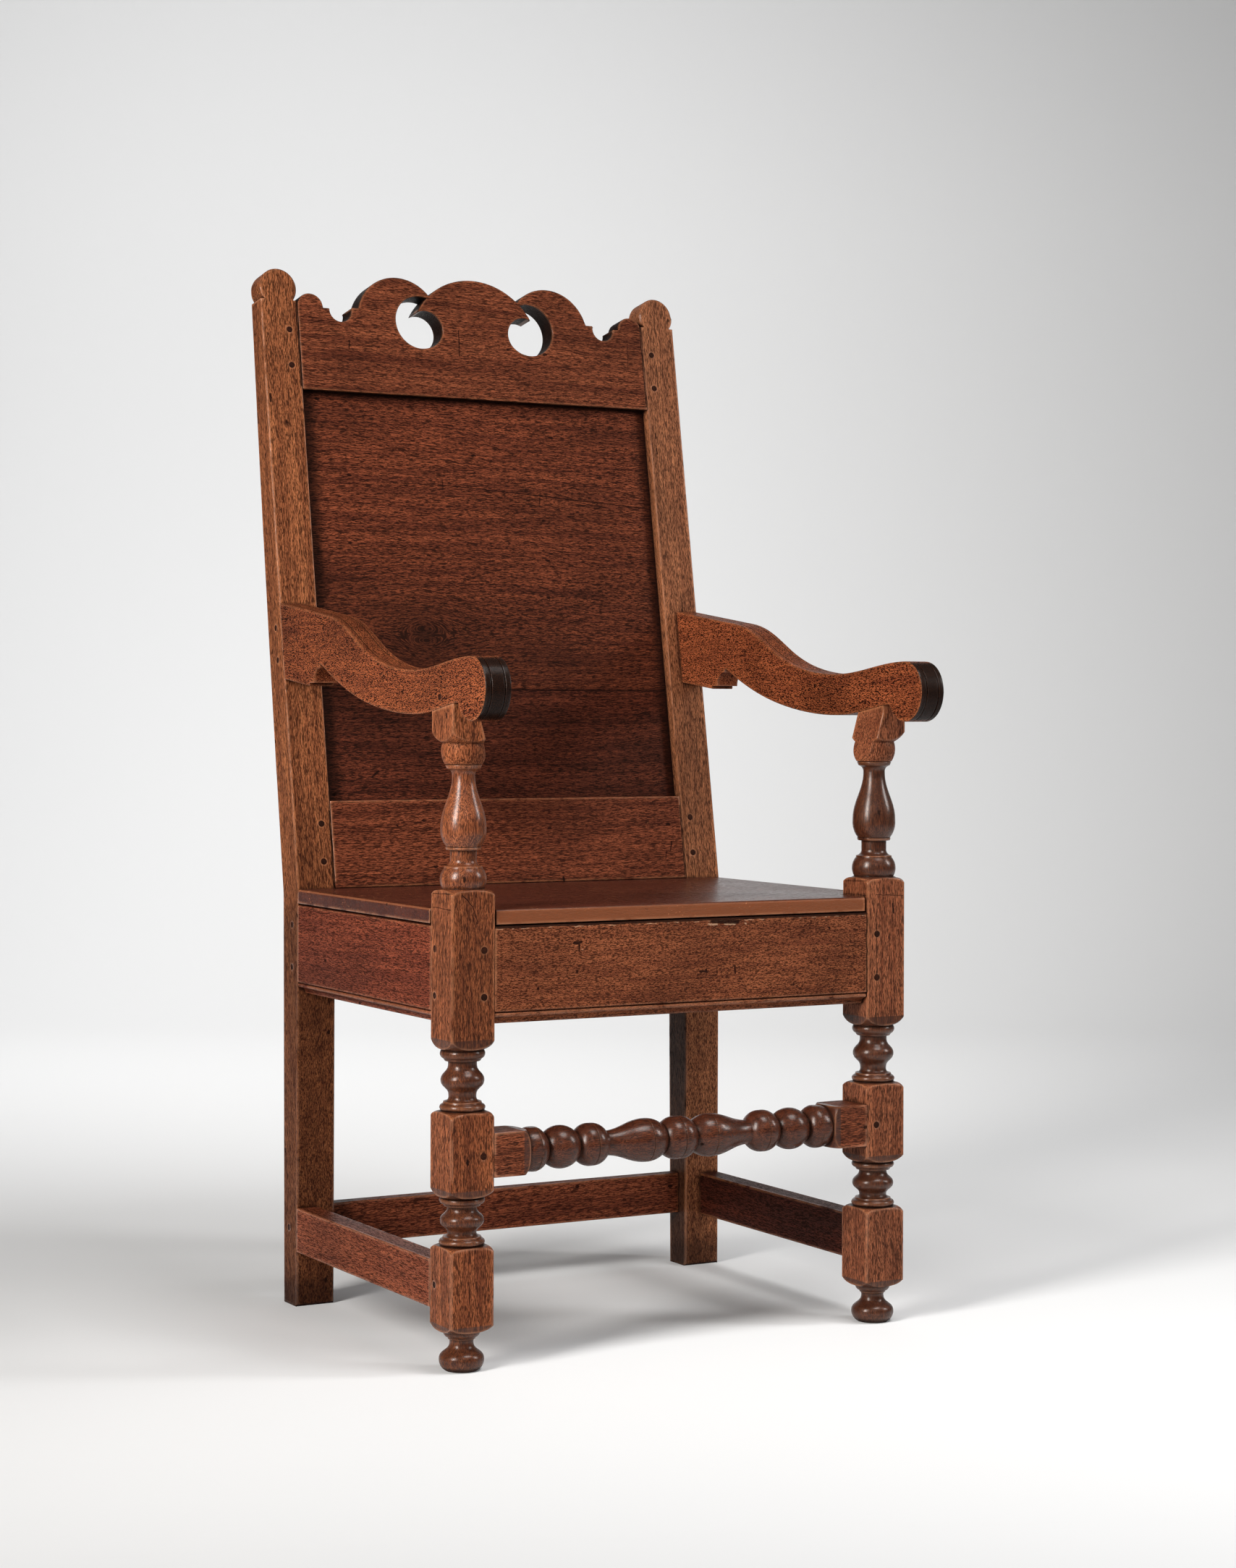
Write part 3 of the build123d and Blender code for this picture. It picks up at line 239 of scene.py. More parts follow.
# %% Node helpers
class Tree:
    """A node tree with short calls for the nodes used here."""

    def __init__(self, tree):
        self.tree = tree

    def add(self, kind, **settings):
        node = self.tree.nodes.new(kind)
        for name, value in settings.items():
            setattr(node, name, value)
        return node

    def set(self, socket, value):
        """Link a socket, or give it a plain value."""
        if isinstance(value, bpy.types.NodeSocket):
            self.tree.links.new(value, socket)
        else:
            socket.default_value = value

    def math(self, operation, a, b=0.0, clamp=False):
        node = self.add("ShaderNodeMath", operation=operation, use_clamp=clamp)
        self.set(node.inputs[0], a)
        self.set(node.inputs[1], b)
        return node.outputs[0]

    def vector(self, operation, a, b=(0, 0, 0), c=None):
        """A vector sum or product. DOT_PRODUCT and LENGTH give a number."""
        node = self.add("ShaderNodeVectorMath", operation=operation)
        self.set(node.inputs[0], a)
        self.set(node.inputs[1], b)
        if c is not None:
            self.set(node.inputs[2], c)
        return node.outputs["Value" if operation in ("DOT_PRODUCT", "LENGTH") else "Vector"]

    def stretch(self, vector, across, along):
        """Scale a position so that noise is drawn out along the third axis."""
        return self.vector("MULTIPLY", vector, (across, across, along))

    def turned(self, vector, degrees):
        mapping = self.add("ShaderNodeMapping")
        self.set(mapping.inputs["Vector"], vector)
        mapping.inputs["Rotation"].default_value = [math.radians(angle) for angle in degrees]
        return mapping.outputs["Vector"]

    def noise(self, vector, detail=2.0, roughness=0.5, output="Fac"):
        node = self.add("ShaderNodeTexNoise")
        self.set(node.inputs["Vector"], vector)
        node.inputs["Scale"].default_value = 1.0
        node.inputs["Detail"].default_value = detail
        node.inputs["Roughness"].default_value = roughness
        return node.outputs[output]

    def band(self, value, low, high):
        """0 up to low, 1 from high on, and smooth between. low may be the greater."""
        node = self.add("ShaderNodeMapRange", interpolation_type="SMOOTHSTEP")
        self.set(node.inputs["Value"], value)
        self.set(node.inputs["From Min"], low)
        self.set(node.inputs["From Max"], high)
        return node.outputs["Result"]

    def use(self, group, values):
        """Place a node group with the values of its inputs by name, and give its outputs."""
        node = self.add("ShaderNodeGroup", node_tree=group)
        for name, value in values.items():
            self.set(node.inputs[name], value)
        return node.outputs

    def mix(self, factor, a, b):
        node = self.add("ShaderNodeMix", data_type="RGBA")
        self.set(node.inputs[0], factor)
        self.set(node.inputs[6], a)
        self.set(node.inputs[7], b)
        return node.outputs[2]


def new_group(name, inputs, outputs):
    """An empty node group with its sockets, as (tree helper, input node, output node)."""
    group = bpy.data.node_groups.new(name, "ShaderNodeTree")
    for label, kind in inputs:
        group.interface.new_socket(label, in_out="INPUT", socket_type="NodeSocket" + kind)
    for label, kind in outputs:
        group.interface.new_socket(label, in_out="OUTPUT", socket_type="NodeSocket" + kind)
    t = Tree(group)
    return group, t, t.add("NodeGroupInput").outputs, t.add("NodeGroupOutput").inputs


# %% Walnut figure group
def walnut_figure():
    """Node group: walnut seen along any face, grain along the third axis of the vector."""
    group, t, given, result = new_group(
        "walnut figure",
        [("Vector", "Vector"), ("Dark", "Color"), ("Middle", "Color"), ("Light", "Color"),
         ("Pores", "Float"), ("Figure", "Float")],
        [("Color", "Color"), ("Roughness", "Float"), ("Height", "Float")],
    )

    # The grain wanders a little, so the position is pushed about before it is stretched.
    wander = t.noise(t.stretch(given["Vector"], 7.0, 2.2), detail=1.5, output="Color")
    place = t.vector("MULTIPLY_ADD", wander, (0.030, 0.030, 0.0), given["Vector"])

    rings = t.noise(t.stretch(place, 60.0, 1.4), detail=3.0, roughness=0.6)
    stripes = t.noise(t.stretch(place, 330.0, 7.0), detail=2.0, roughness=0.6)
    flecks = t.noise(t.stretch(place, 1250.0, 130.0), detail=1.0, roughness=0.5)
    fine = t.noise(t.stretch(place, 2200.0, 300.0), detail=0.0)
    patina = t.noise(t.stretch(place, 9.0, 4.0), detail=3.0)

    stripe_share = t.math("MULTIPLY", t.band(stripes, 0.38, 0.60), 0.6)
    ring_share = t.math("MULTIPLY", t.band(rings, 0.36, 0.64), given["Figure"])
    share = t.math("ADD", stripe_share, ring_share, clamp=True)
    wood = t.mix(share, given["Light"], given["Middle"])
    wood = t.mix(t.math("MULTIPLY", t.band(patina, 0.45, 0.72), 0.35), wood, given["Dark"])
    long_pores = t.band(flecks, 0.49, 0.57)
    fine_pores = t.math("MULTIPLY", t.band(fine, 0.52, 0.62), 0.8)
    pores = t.math("MULTIPLY", t.math("MAXIMUM", long_pores, fine_pores), given["Pores"], clamp=True)
    t.set(result["Color"], t.mix(pores, wood, given["Dark"]))
    unevenness = t.math("ADD", t.math("MULTIPLY", pores, 0.25), t.math("MULTIPLY", stripes, 0.08))
    t.set(result["Roughness"], unevenness)
    t.set(result["Height"], t.math("SUBTRACT", t.math("MULTIPLY", stripes, 0.3), pores))
    return group


figure_group = walnut_figure()
print("walnut figure:", len(figure_group.nodes), "nodes")

# %% [markdown]
# ## Wear, and painted shade in the corners
# Years of handling rub the dark surface off every arris, and old wax and dirt stay in the corners,
# which are darkened by painted shade as well. The first is a mask where the wood is thin when looked
# into from its surface, the second one where the surface is closely overlooked by its neighbours.
# Both need no painting by hand and follow the shape wherever it changes.

# %% Wear and corner shade group
ARRIS_REACH = 0.0045
CORNER_REACH = 0.006


def old_wear_and_shade():
    """Node group: worn arrises broken up by noise, dark corners, and patches of duller polish."""
    group, t, _, result = new_group(
        "old wear and corner shade", [], [("Arris", "Float"), ("Corner", "Float"), ("Rubbed", "Float")],
    )
    place = t.add("ShaderNodeTexCoord").outputs["Object"]
    thin = t.add("ShaderNodeAmbientOcclusion", samples=8, inside=True, only_local=True)
    thin.inputs["Distance"].default_value = ARRIS_REACH
    edge = t.band(thin.outputs["AO"], 0.86, 0.60)
    shade = t.add("ShaderNodeAmbientOcclusion", samples=6)
    shade.inputs["Distance"].default_value = CORNER_REACH
    hollow = t.band(shade.outputs["AO"], 0.84, 0.50)
    outward = t.math("SUBTRACT", 1.0, hollow, clamp=True)
    broken = t.noise(t.stretch(place, 55.0, 55.0), detail=3.0)
    edge = t.math("MULTIPLY", edge, outward)
    t.set(result["Arris"], t.math("MULTIPLY", edge, t.band(broken, 0.30, 0.52)))
    # The corner mask darkens old dirt, and also paints the shade that falls in the hollows.
    t.set(result["Corner"], hollow)
    t.set(result["Rubbed"], t.noise(t.stretch(place, 9.0, 9.0), detail=3.0))
    return group


wear_and_shade_group = old_wear_and_shade()
print("old wear and corner shade:", len(wear_and_shade_group.nodes), "nodes")

# %% [markdown]
# ## Knocks, cracks and marks
# Small dark dents are scattered at random: a cell pattern in space gives one dot in each cell, and
# only the few dots that lie on the surface show. Long cracks and tool marks lie at places of their
# own, so one small group draws a thin wavering line between two points.

# %% Knocks group
def old_knocks():
    """Node group: scattered dark dents, and thin pale scratches."""
    group, t, given, result = new_group(
        "old knocks", [("Vector", "Vector")], [("Dents", "Float"), ("Scratches", "Float")],
    )
    ragged = t.noise(t.stretch(given["Vector"], 400.0, 400.0), detail=1.0, output="Color")
    place = t.vector("MULTIPLY_ADD", ragged, (0.002, 0.002, 0.002), given["Vector"])
    cells = t.add("ShaderNodeTexVoronoi")
    t.set(cells.inputs["Vector"], t.stretch(place, 40.0, 22.0))
    cells.inputs["Scale"].default_value = 1.0
    t.set(result["Dents"], t.band(cells.outputs["Distance"], 0.085, 0.05))
    lean = t.turned(place, (35, 20, 50))
    lines = t.band(t.noise(t.stretch(lean, 700.0, 28.0), detail=1.0), 0.69, 0.73)
    patches = t.band(t.noise(t.stretch(place, 22.0, 22.0), detail=1.0), 0.52, 0.6)
    t.set(result["Scratches"], t.math("MULTIPLY", lines, patches))
    return group


knocks_group = old_knocks()
print("old knocks:", len(knocks_group.nodes), "nodes")

# %% Crack group
def crack_line():
    """Node group: 1 on a thin line between two points. Plane is 0 on the axis to be ignored."""
    group, t, given, result = new_group(
        "crack line",
        [("Vector", "Vector"), ("Plane", "Vector"), ("Start", "Vector"), ("End", "Vector"),
         ("Half Width", "Float")],
        [("Line", "Float")],
    )
    waver = t.noise(t.stretch(given["Vector"], 130.0, 130.0), detail=2.0, output="Color")
    place = t.vector("MULTIPLY_ADD", waver, (0.0022, 0.0022, 0.0022), given["Vector"])
    reach = t.vector("MULTIPLY", t.vector("SUBTRACT", place, given["Start"]), given["Plane"])
    whole = t.vector("MULTIPLY", t.vector("SUBTRACT", given["End"], given["Start"]), given["Plane"])
    length = t.vector("DOT_PRODUCT", whole, whole)
    share = t.math("DIVIDE", t.vector("DOT_PRODUCT", reach, whole), length, clamp=True)
    scaled = t.add("ShaderNodeVectorMath", operation="SCALE")
    t.set(scaled.inputs[0], whole)
    t.set(scaled.inputs["Scale"], share)
    away = t.vector("LENGTH", t.vector("SUBTRACT", reach, scaled.outputs[0]))
    t.set(result["Line"], t.band(t.math("DIVIDE", away, given["Half Width"]), 1.3, 0.7))
    return group


crack_group = crack_line()
print("crack line:", len(crack_group.nodes), "nodes")

# %% [markdown]
# ## The leaning back
# The rear posts lean back above the seat, and the boards between them lean with them. Their grain
# and their marks are laid out in a frame that leans too: across the chair, into the board, and up
# the board from the height of the seat.

# %% Leaning frame
RAKE_DEGREES = 9.7
BEND_HEIGHT = 0.450
BEND_BEHIND_FRONT = 0.3764
bend_y = front_y + BEND_BEHIND_FRONT
rake = math.radians(RAKE_DEGREES)
bend_up = bend_y * math.sin(rake) + BEND_HEIGHT * math.cos(rake)


def on_back(x, height):
    """A place on the leaning back: across the chair, and up the board from the seat, in millimetres."""
    return (x / 1000, 0.0, bend_up + height / 1000)


def on_front(x, z):
    """A place on the front of the chair in millimetres."""
    return (x / 1000, 0.0, z / 1000)


def on_side(depth, z):
    """A place on a side of the chair: back from the front of the posts, and height, in millimetres."""
    return (0.0, front_y + depth / 1000, z / 1000)


ACROSS_PLANE = (1, 0, 1)
SIDE_PLANE = (0, 1, 1)
print("the back leans from z =", BEND_HEIGHT, "at y =", round(bend_y, 4))

# %% [markdown]
# ## The knot in the panel
# A branch once grew through the upper board of the back. The grain flows round such a knot as water
# flows round a pile, so the same formula is used: across the flow, the position is drawn towards
# the heart by the square of its radius over the square of the distance.

# %% Knot flow
KNOT = on_back(-86.6, 285.1)
KNOT_RADIUS = 0.019
KNOT_LENGTH_SHARE = 1.7
KNOT_SOFTNESS = 0.4
HEART_SHARE = 0.3
HALO_SHARE = 0.4


def knot_flow(t, place):
    """Lead the grain of a leaning board round the knot, as (new place, darkness of the knot)."""
    offset = t.vector("SUBTRACT", place, KNOT)
    flat = t.vector("MULTIPLY", offset, (1 / KNOT_LENGTH_SHARE, 0, 1))
    distance = t.vector("LENGTH", flat)
    softened = KNOT_SOFTNESS * KNOT_RADIUS ** 2
    square = t.math("ADD", t.math("MULTIPLY", distance, distance), softened)
    pull = t.math("DIVIDE", KNOT_RADIUS ** 2, square)
    shift = t.add("ShaderNodeVectorMath", operation="SCALE")
    t.set(shift.inputs[0], t.vector("MULTIPLY", offset, (0, 0, -1)))
    t.set(shift.inputs["Scale"], pull)
    led = t.vector("ADD", place, shift.outputs[0])
    heart = t.band(distance, KNOT_RADIUS * 0.8, KNOT_RADIUS * 0.2)
    halo = t.band(distance, KNOT_RADIUS * 3.5, KNOT_RADIUS * 0.6)
    dark = t.math("ADD", t.math("MULTIPLY", heart, HEART_SHARE), t.math("MULTIPLY", halo, HALO_SHARE))
    return led, dark


print("knot at x =", KNOT[0], "and", round(KNOT[2], 4), "up the lean")

# %% [markdown]
# ## Masks for parts of a piece
# Some tones belong to a part of a piece: the near-black inside of the piercings, darker end grain
# with painted shade, the turned runs between the square blocks, and the painted shade that thickens
# beside a frame. Each is a mask worked out from the place or from the way that the surface looks,
# so nothing is painted by hand. The turned runs are told by the heights of the blocks. Their distance
# from the axis wouldn't do, because a full bead reaches as far out as the flats of a block.

# %% Other faces group
UPWARDS = (0, 0, 1)
ANY_HEIGHT = 2.0


def other_faces():
    """Node group: 1 on the faces, up to a height, that look another way than along an axis."""
    group, t, given, result = new_group(
        "other faces", [("Axis", "Vector"), ("Top", "Float")], [("Mask", "Float")],
    )
    coordinates = t.add("ShaderNodeTexCoord").outputs
    facing = t.math("ABSOLUTE", t.vector("DOT_PRODUCT", coordinates["Normal"], given["Axis"]))
    height = t.vector("DOT_PRODUCT", coordinates["Object"], UPWARDS)
    low_enough = t.math("LESS_THAN", height, given["Top"])
    t.set(result["Mask"], t.math("MULTIPLY", t.band(facing, 0.75, 0.45), low_enough))
    return group


other_faces_group = other_faces()
print("other faces:", len(other_faces_group.nodes), "nodes")

# %% Square block group
BLOCK_BLUR = 0.0004


def square_block():
    """Node group: 1 along one block of a turned piece. Both halves of the piece are alike."""
    group, t, given, result = new_group(
        "square block",
        [("Vector", "Vector"), ("Axis", "Vector"), ("Low", "Float"), ("High", "Float")],
        [("Block", "Float")],
    )
    along = t.math("ABSOLUTE", t.vector("DOT_PRODUCT", given["Vector"], given["Axis"]))
    ends = []
    for end, inwards in (("Low", BLOCK_BLUR), ("High", -BLOCK_BLUR)):
        outside = t.math("SUBTRACT", given[end], inwards)
        inside = t.math("ADD", given[end], inwards)
        ends.append(t.band(along, outside, inside))
    t.set(result["Block"], t.math("MULTIPLY", *ends))
    return group


square_block_group = square_block()
print("square block:", len(square_block_group.nodes), "nodes")

# %% Thickening soil and painted shade group
def thickening_soil_and_shade():
    """Node group: soil and painted shade that thicken between two places on an axis, alike on both
    halves.
    """
    group, t, given, result = new_group(
        "thickening soil and painted shade",
        [("Vector", "Vector"), ("Axis", "Vector"), ("Start Of Soil And Shade", "Float"), ("Full Soil And Shade", "Float")],
        [("Soil And Shade", "Float")],
    )
    along = t.math("ABSOLUTE", t.vector("DOT_PRODUCT", given["Vector"], given["Axis"]))
    t.set(result["Soil And Shade"], t.band(along, given["Start Of Soil And Shade"], given["Full Soil And Shade"]))
    return group


soil_and_shade_group = thickening_soil_and_shade()
print("thickening soil and painted shade:", len(soil_and_shade_group.nodes), "nodes")

# %% [markdown]
# ## Walnut for each piece
# One function makes the material of every piece. What differs is the way that the grain runs, three
# tones of brown, how open the pores are and how bright the polish is. The wood comes first, then
# what the lathe, the hands and the dirt have done to it, and last the wax. The wax is a thin coat:
# it is thick enough to shine on the arrises and the turned runs, and elsewhere it has sunk in.

# %% Grain directions and tones
ALONG_X = (0, 90, 0)
ALONG_Y = (90, 0, 0)
UPRIGHT = (0, 0, 0)
# The dark of soot and old dirt, also used for painted shade.
SOOT_AND_SHADE = (22, 9, 7)
RUBBED = (188, 120, 78)
NEW_WOOD = (205, 165, 132)
print("grain turns", ALONG_X, ALONG_Y, UPRIGHT)

# %% Marks on a piece
CHIP_SHARE = 0.55


def crack(t, place, mark):
    """One crack line in a material. A mark is (plane, start, end, half width in millimetres)."""
    plane, start, end, half_width = mark
    return t.use(crack_group, {
        "Vector": place, "Plane": plane, "Start": start, "End": end,
        "Half Width": half_width / 1000,
    })["Line"]


def chip(t, place, mark, colour):
    """New wood that shows through an old colour in a broken line."""
    ragged = t.noise(t.stretch(place, 130.0, 130.0), detail=3.0)
    chips = t.math("MULTIPLY", crack(t, place, mark), t.band(ragged, 0.53, 0.62))
    return t.mix(t.math("MULTIPLY", chips, CHIP_SHARE), colour, tone(*NEW_WOOD))


# %% Turned runs
EVENED_BY_WAX = 0.12
SOIL_FADE = 0.01


def turned_runs(t, place, lathe):
    """1 on the turned runs of a piece, 0 on its square blocks. lathe is (axis, spans of the blocks)."""
    axis, blocks = lathe
    square = 0.0
    for low, high in blocks:
        values = {"Vector": place, "Axis": axis, "Low": low, "High": high}
        square = t.math("MAXIMUM", square, t.use(square_block_group, values)["Block"])
    return t.math("SUBTRACT", 1.0, square)


def lathe_polish(t, place, turned, colour, middle, soil, clean):
    """The colour of the turned runs, evened by wax, darkened by soil and painted shade up to the height
    clean.
    """
    colour = t.mix(t.math("MULTIPLY", turned, EVENED_BY_WAX), colour, tone(*middle))
    soil_and_shade = t.math("MULTIPLY", turned, soil)
    if clean is not None:
        height = t.vector("DOT_PRODUCT", place, UPWARDS)
        soil_and_shade = t.math("MULTIPLY", soil_and_shade, t.band(height, clean + SOIL_FADE, clean))
    return t.mix(soil_and_shade, colour, tone(*SOOT_AND_SHADE))


# %% Wax
WAX_TINT = (1.0, 0.66, 0.46, 1.0)
WAXED_ARRIS = 0.9
WAXED_TURNING = 0.36
TURNING_GLOSS = 0.17
PATCHY_POLISH = 0.22
DULL_SOIL = 0.3
FIGURE_DULLS = 0.06
ARRIS_ROUNDING = 0.0018


def wax(t, shader, wood, rubbed, worn, soil_and_shade, turned, dullness, gloss, coat):
    """Set how bright the surface is, and bend its light over the pores and round the arrises."""
    patches = t.math("MULTIPLY", t.math("SUBTRACT", rubbed, 0.5), PATCHY_POLISH)
    dull = t.math("ADD", patches, t.math("MULTIPLY", soil_and_shade, DULL_SOIL))
    dull = t.math("SUBTRACT", dull, t.math("MULTIPLY", turned, TURNING_GLOSS))
    rough = t.math("ADD", wood["Roughness"], dullness - FIGURE_DULLS)
    t.set(shader.inputs["Roughness"], t.math("ADD", rough, dull, clamp=True))
    on_arris = t.math("MULTIPLY", worn, WAXED_ARRIS)
    waxed = t.math("MAXIMUM", on_arris, t.math("MULTIPLY", turned, WAXED_TURNING))
    waxed = t.math("MULTIPLY", waxed, t.math("SUBTRACT", 1.0, soil_and_shade, clamp=True))
    t.set(shader.inputs["Coat Weight"], t.math("ADD", waxed, coat, clamp=True))
    shader.inputs["Coat Roughness"].default_value = 0.24
    shader.inputs["Coat IOR"].default_value = 1.6
    shader.inputs["Specular IOR Level"].default_value = gloss
    shader.inputs["Specular Tint"].default_value = WAX_TINT

    rounded = t.add("ShaderNodeBevel", samples=4)
    rounded.inputs["Radius"].default_value = ARRIS_ROUNDING
    bump = t.add("ShaderNodeBump")
    bump.inputs["Strength"].default_value = 0.35
    bump.inputs["Distance"].default_value = 0.0004
    t.set(bump.inputs["Height"], t.math("SUBTRACT", wood["Height"], soil_and_shade))
    t.set(bump.inputs["Normal"], rounded.outputs["Normal"])
    t.set(shader.inputs["Normal"], bump.outputs["Normal"])
    t.set(shader.inputs["Coat Normal"], rounded.outputs["Normal"])


# %% Walnut material
RUBBED_SHARE = 0.45
CORNER_SHARE = 0.9
SOIL_AND_SHADE_SHARE = 0.92


def walnut(
    name, grain, dark, middle, light, leaning=False, pores=0.85, figure=0.5, short=1.0, knot=False,
    marks=(), dullness=0.42, gloss=0.08, coat=0.0, off_face=None, pale_scratches=0.15, lathe=None,
    shade=(), arris=1.0, lathe_soil_and_shade=0.0, lathe_dark_below=None, pale_marks=(),
):
    """Waxed walnut, its grain turned by grain and its three tones given as screen colours.
    leaning boards take the frame of the back. A greater short makes shorter pores, and a greater
    arris a more worn one. marks are dark lines, and pale_marks are chips that show new wood.
    off_face is (axis, tone, share, top) for the faces that look another way than the show face.
    shade is a list of (axis, clean, soiled, share): bands of painted shade, and of soil at the feet.
    The turned runs of a lathe piece are darker by lathe_soil_and_shade, with wax and painted shade,
    up to the height lathe_dark_below."""
    material = bpy.data.materials.new(name)
    material.use_nodes = True
    t = Tree(material.node_tree)
    shader = material.node_tree.nodes["Principled BSDF"]
    place = t.add("ShaderNodeTexCoord").outputs["Object"]
    if leaning:
        place = t.turned(place, (RAKE_DEGREES, 0, 0))
    led, heart = knot_flow(t, place) if knot else (place, None)
    grain_place = t.turned(led, grain)
    if short != 1.0:
        grain_place = t.stretch(grain_place, 1.0, short)

    wood = t.use(figure_group, {
        "Vector": grain_place, "Dark": tone(*dark), "Middle": tone(*middle), "Light": tone(*light),
        "Pores": pores, "Figure": figure,
    })
    colour = wood["Color"]
    if heart is not None:
        colour = t.mix(heart, colour, tone(*SOOT_AND_SHADE))
    if off_face is not None:
        axis, other, strength, top = off_face
        away = t.use(other_faces_group, {"Axis": axis, "Top": top})["Mask"]
        colour = t.mix(t.math("MULTIPLY", away, strength), colour, tone(*other))
    turned = 0.0
    if lathe is not None:
        turned = turned_runs(t, place, lathe)
        colour = lathe_polish(t, place, turned, colour, middle, lathe_soil_and_shade, lathe_dark_below)

    wear = t.use(wear_and_shade_group, {})
    knocks = t.use(knocks_group, {"Vector": grain_place})
    worn = t.math("MULTIPLY", wear["Arris"], arris, clamp=True)
    colour = t.mix(t.math("MULTIPLY", worn, RUBBED_SHARE), colour, tone(*RUBBED))
    scratched = t.math("MULTIPLY", knocks["Scratches"], pale_scratches)
    colour = t.mix(scratched, colour, tone(*RUBBED))
    for mark in pale_marks:
        colour = chip(t, place, mark, colour)
    # Bands of painted shade beside the frame and under the seat, and of soil at the feet.
    for axis, clean, soil, strength in shade:
        values = {"Vector": place, "Axis": axis, "Start Of Soil And Shade": clean, "Full Soil And Shade": soil}
        near = t.use(soil_and_shade_group, values)["Soil And Shade"]
        colour = t.mix(t.math("MULTIPLY", near, strength), colour, tone(*SOOT_AND_SHADE))
    # Corners are darkened as old dirt and as painted shade, together with the dents and dark lines.
    in_corner = t.math("MULTIPLY", wear["Corner"], CORNER_SHARE)
    soil_and_shade = t.math("MAXIMUM", in_corner, knocks["Dents"])
    for mark in marks:
        soil_and_shade = t.math("MAXIMUM", soil_and_shade, crack(t, place, mark))
    colour = t.mix(t.math("MULTIPLY", soil_and_shade, SOIL_AND_SHADE_SHARE), colour, tone(*SOOT_AND_SHADE))
    t.set(shader.inputs["Base Color"], colour)
    wax(t, shader, wood, wear["Rubbed"], worn, soil_and_shade, turned, dullness, gloss, coat)
    return material


print("walnut: one function for", len(nodes), "nodes")

# %% [markdown]
# ## The back
# The crest, the rails and the panel are seldom touched, so their wax is dark and their arrises are
# little worn. The posts beside them are rubbed and paler. The joints, cracks and dents are mostly
# under two millimetres wide, too fine for the solid, so they are lines in the finish, each between
# two places on the leaning back. The dark gap where a shoulder meets a post is such a line too.

# %% Finishes of the back
BACK_FACE = (0, -math.cos(rake), math.sin(rake))
POST_INSIDE = 221.6
POST_EDGE = 222.4
CREST_HEIGHTS = (565.0, 668.0)
RAIL_HEIGHTS = (0.0, 86.0)
ACROSS = (1, 0, 0)


def shoulders(x, heights, half_width):
    """The upright joint lines where a board meets the two rear posts."""
    return [
        (ACROSS_PLANE, on_back(side * x, heights[0]), on_back(side * x, heights[1]), half_width)
        for side in (-1, 1)
    ]


crest_marks = [
    *shoulders(POST_INSIDE, CREST_HEIGHTS, 0.7),
    (ACROSS_PLANE, on_back(-20.9, 641.8), on_back(-22.3, 611.5), 0.6),
    (ACROSS_PLANE, on_back(-160.3, 621.0), on_back(-161.3, 612.0), 0.7),
    (ACROSS_PLANE, on_back(202.1, 644.7), on_back(201.0, 606.0), 0.3),
    (ACROSS_PLANE, on_back(-133.0, 617.0), on_back(-124.0, 616.0), 0.5),
]
# On the panel: painted shadows of the rear posts along both sides and of the crest along the top, and a
# darkening towards the bottom.
panel_shade = [
    (ACROSS, 0.200, 0.2217, 0.85),
    (UPWARDS, on_back(0, 554.0)[2], on_back(0, 564.0)[2], 0.9),
    (UPWARDS, on_back(0, 430.0)[2], on_back(0, 300.0)[2], 0.3),
]
BOARD_JOINT = (ACROSS_PLANE, on_back(-221.0, 223.3), on_back(221.0, 223.3), 0.7)
panel_marks = [
    BOARD_JOINT,
    (ACROSS_PLANE, on_back(-120.0, 461.0), on_back(-43.9, 460.2), 0.35),
    (ACROSS_PLANE, on_back(-43.9, 460.2), on_back(45.1, 454.7), 0.5),
    (ACROSS_PLANE, on_back(45.1, 454.7), on_back(221.0, 442.6), 0.6),
    (ACROSS_PLANE, on_back(74.7, 456.4), on_back(73.4, 443.0), 0.55),
    (ACROSS_PLANE, on_back(-50.2, 466.0), on_back(-50.6, 456.0), 0.4),
]
lower_panel_marks = [
    BOARD_JOINT,
    (ACROSS_PLANE, on_back(-163.0, 125.0), on_back(-155.0, 131.0), 1.2),
]
lower_rail_marks = [
    *shoulders(POST_INSIDE, RAIL_HEIGHTS, 0.7),
    (ACROSS_PLANE, on_back(207.0, 44.0), on_back(204.5, 34.0), 0.8),
    (ACROSS_PLANE, on_back(200.0, 33.0), on_back(197.0, 25.0), 0.6),
    (ACROSS_PLANE, on_back(61.2, 6.5), on_back(61.5, 2.0), 1.4),
]
rear_post_marks = [
    *shoulders(POST_EDGE, CREST_HEIGHTS, 0.9),
    *shoulders(POST_EDGE, RAIL_HEIGHTS, 0.9),
    (ACROSS_PLANE, on_back(-260.0, 553.0), on_back(-261.0, 545.0), 1.1),
    (ACROSS_PLANE, on_back(231.2, 533.0), on_back(231.6, 527.0), 0.8),
    (ACROSS_PLANE, on_back(231.2, 514.0), on_back(231.6, 508.0), 0.9),
]
FOOT_SOIL = (UPWARDS, 0.066, 0.044, 0.55)
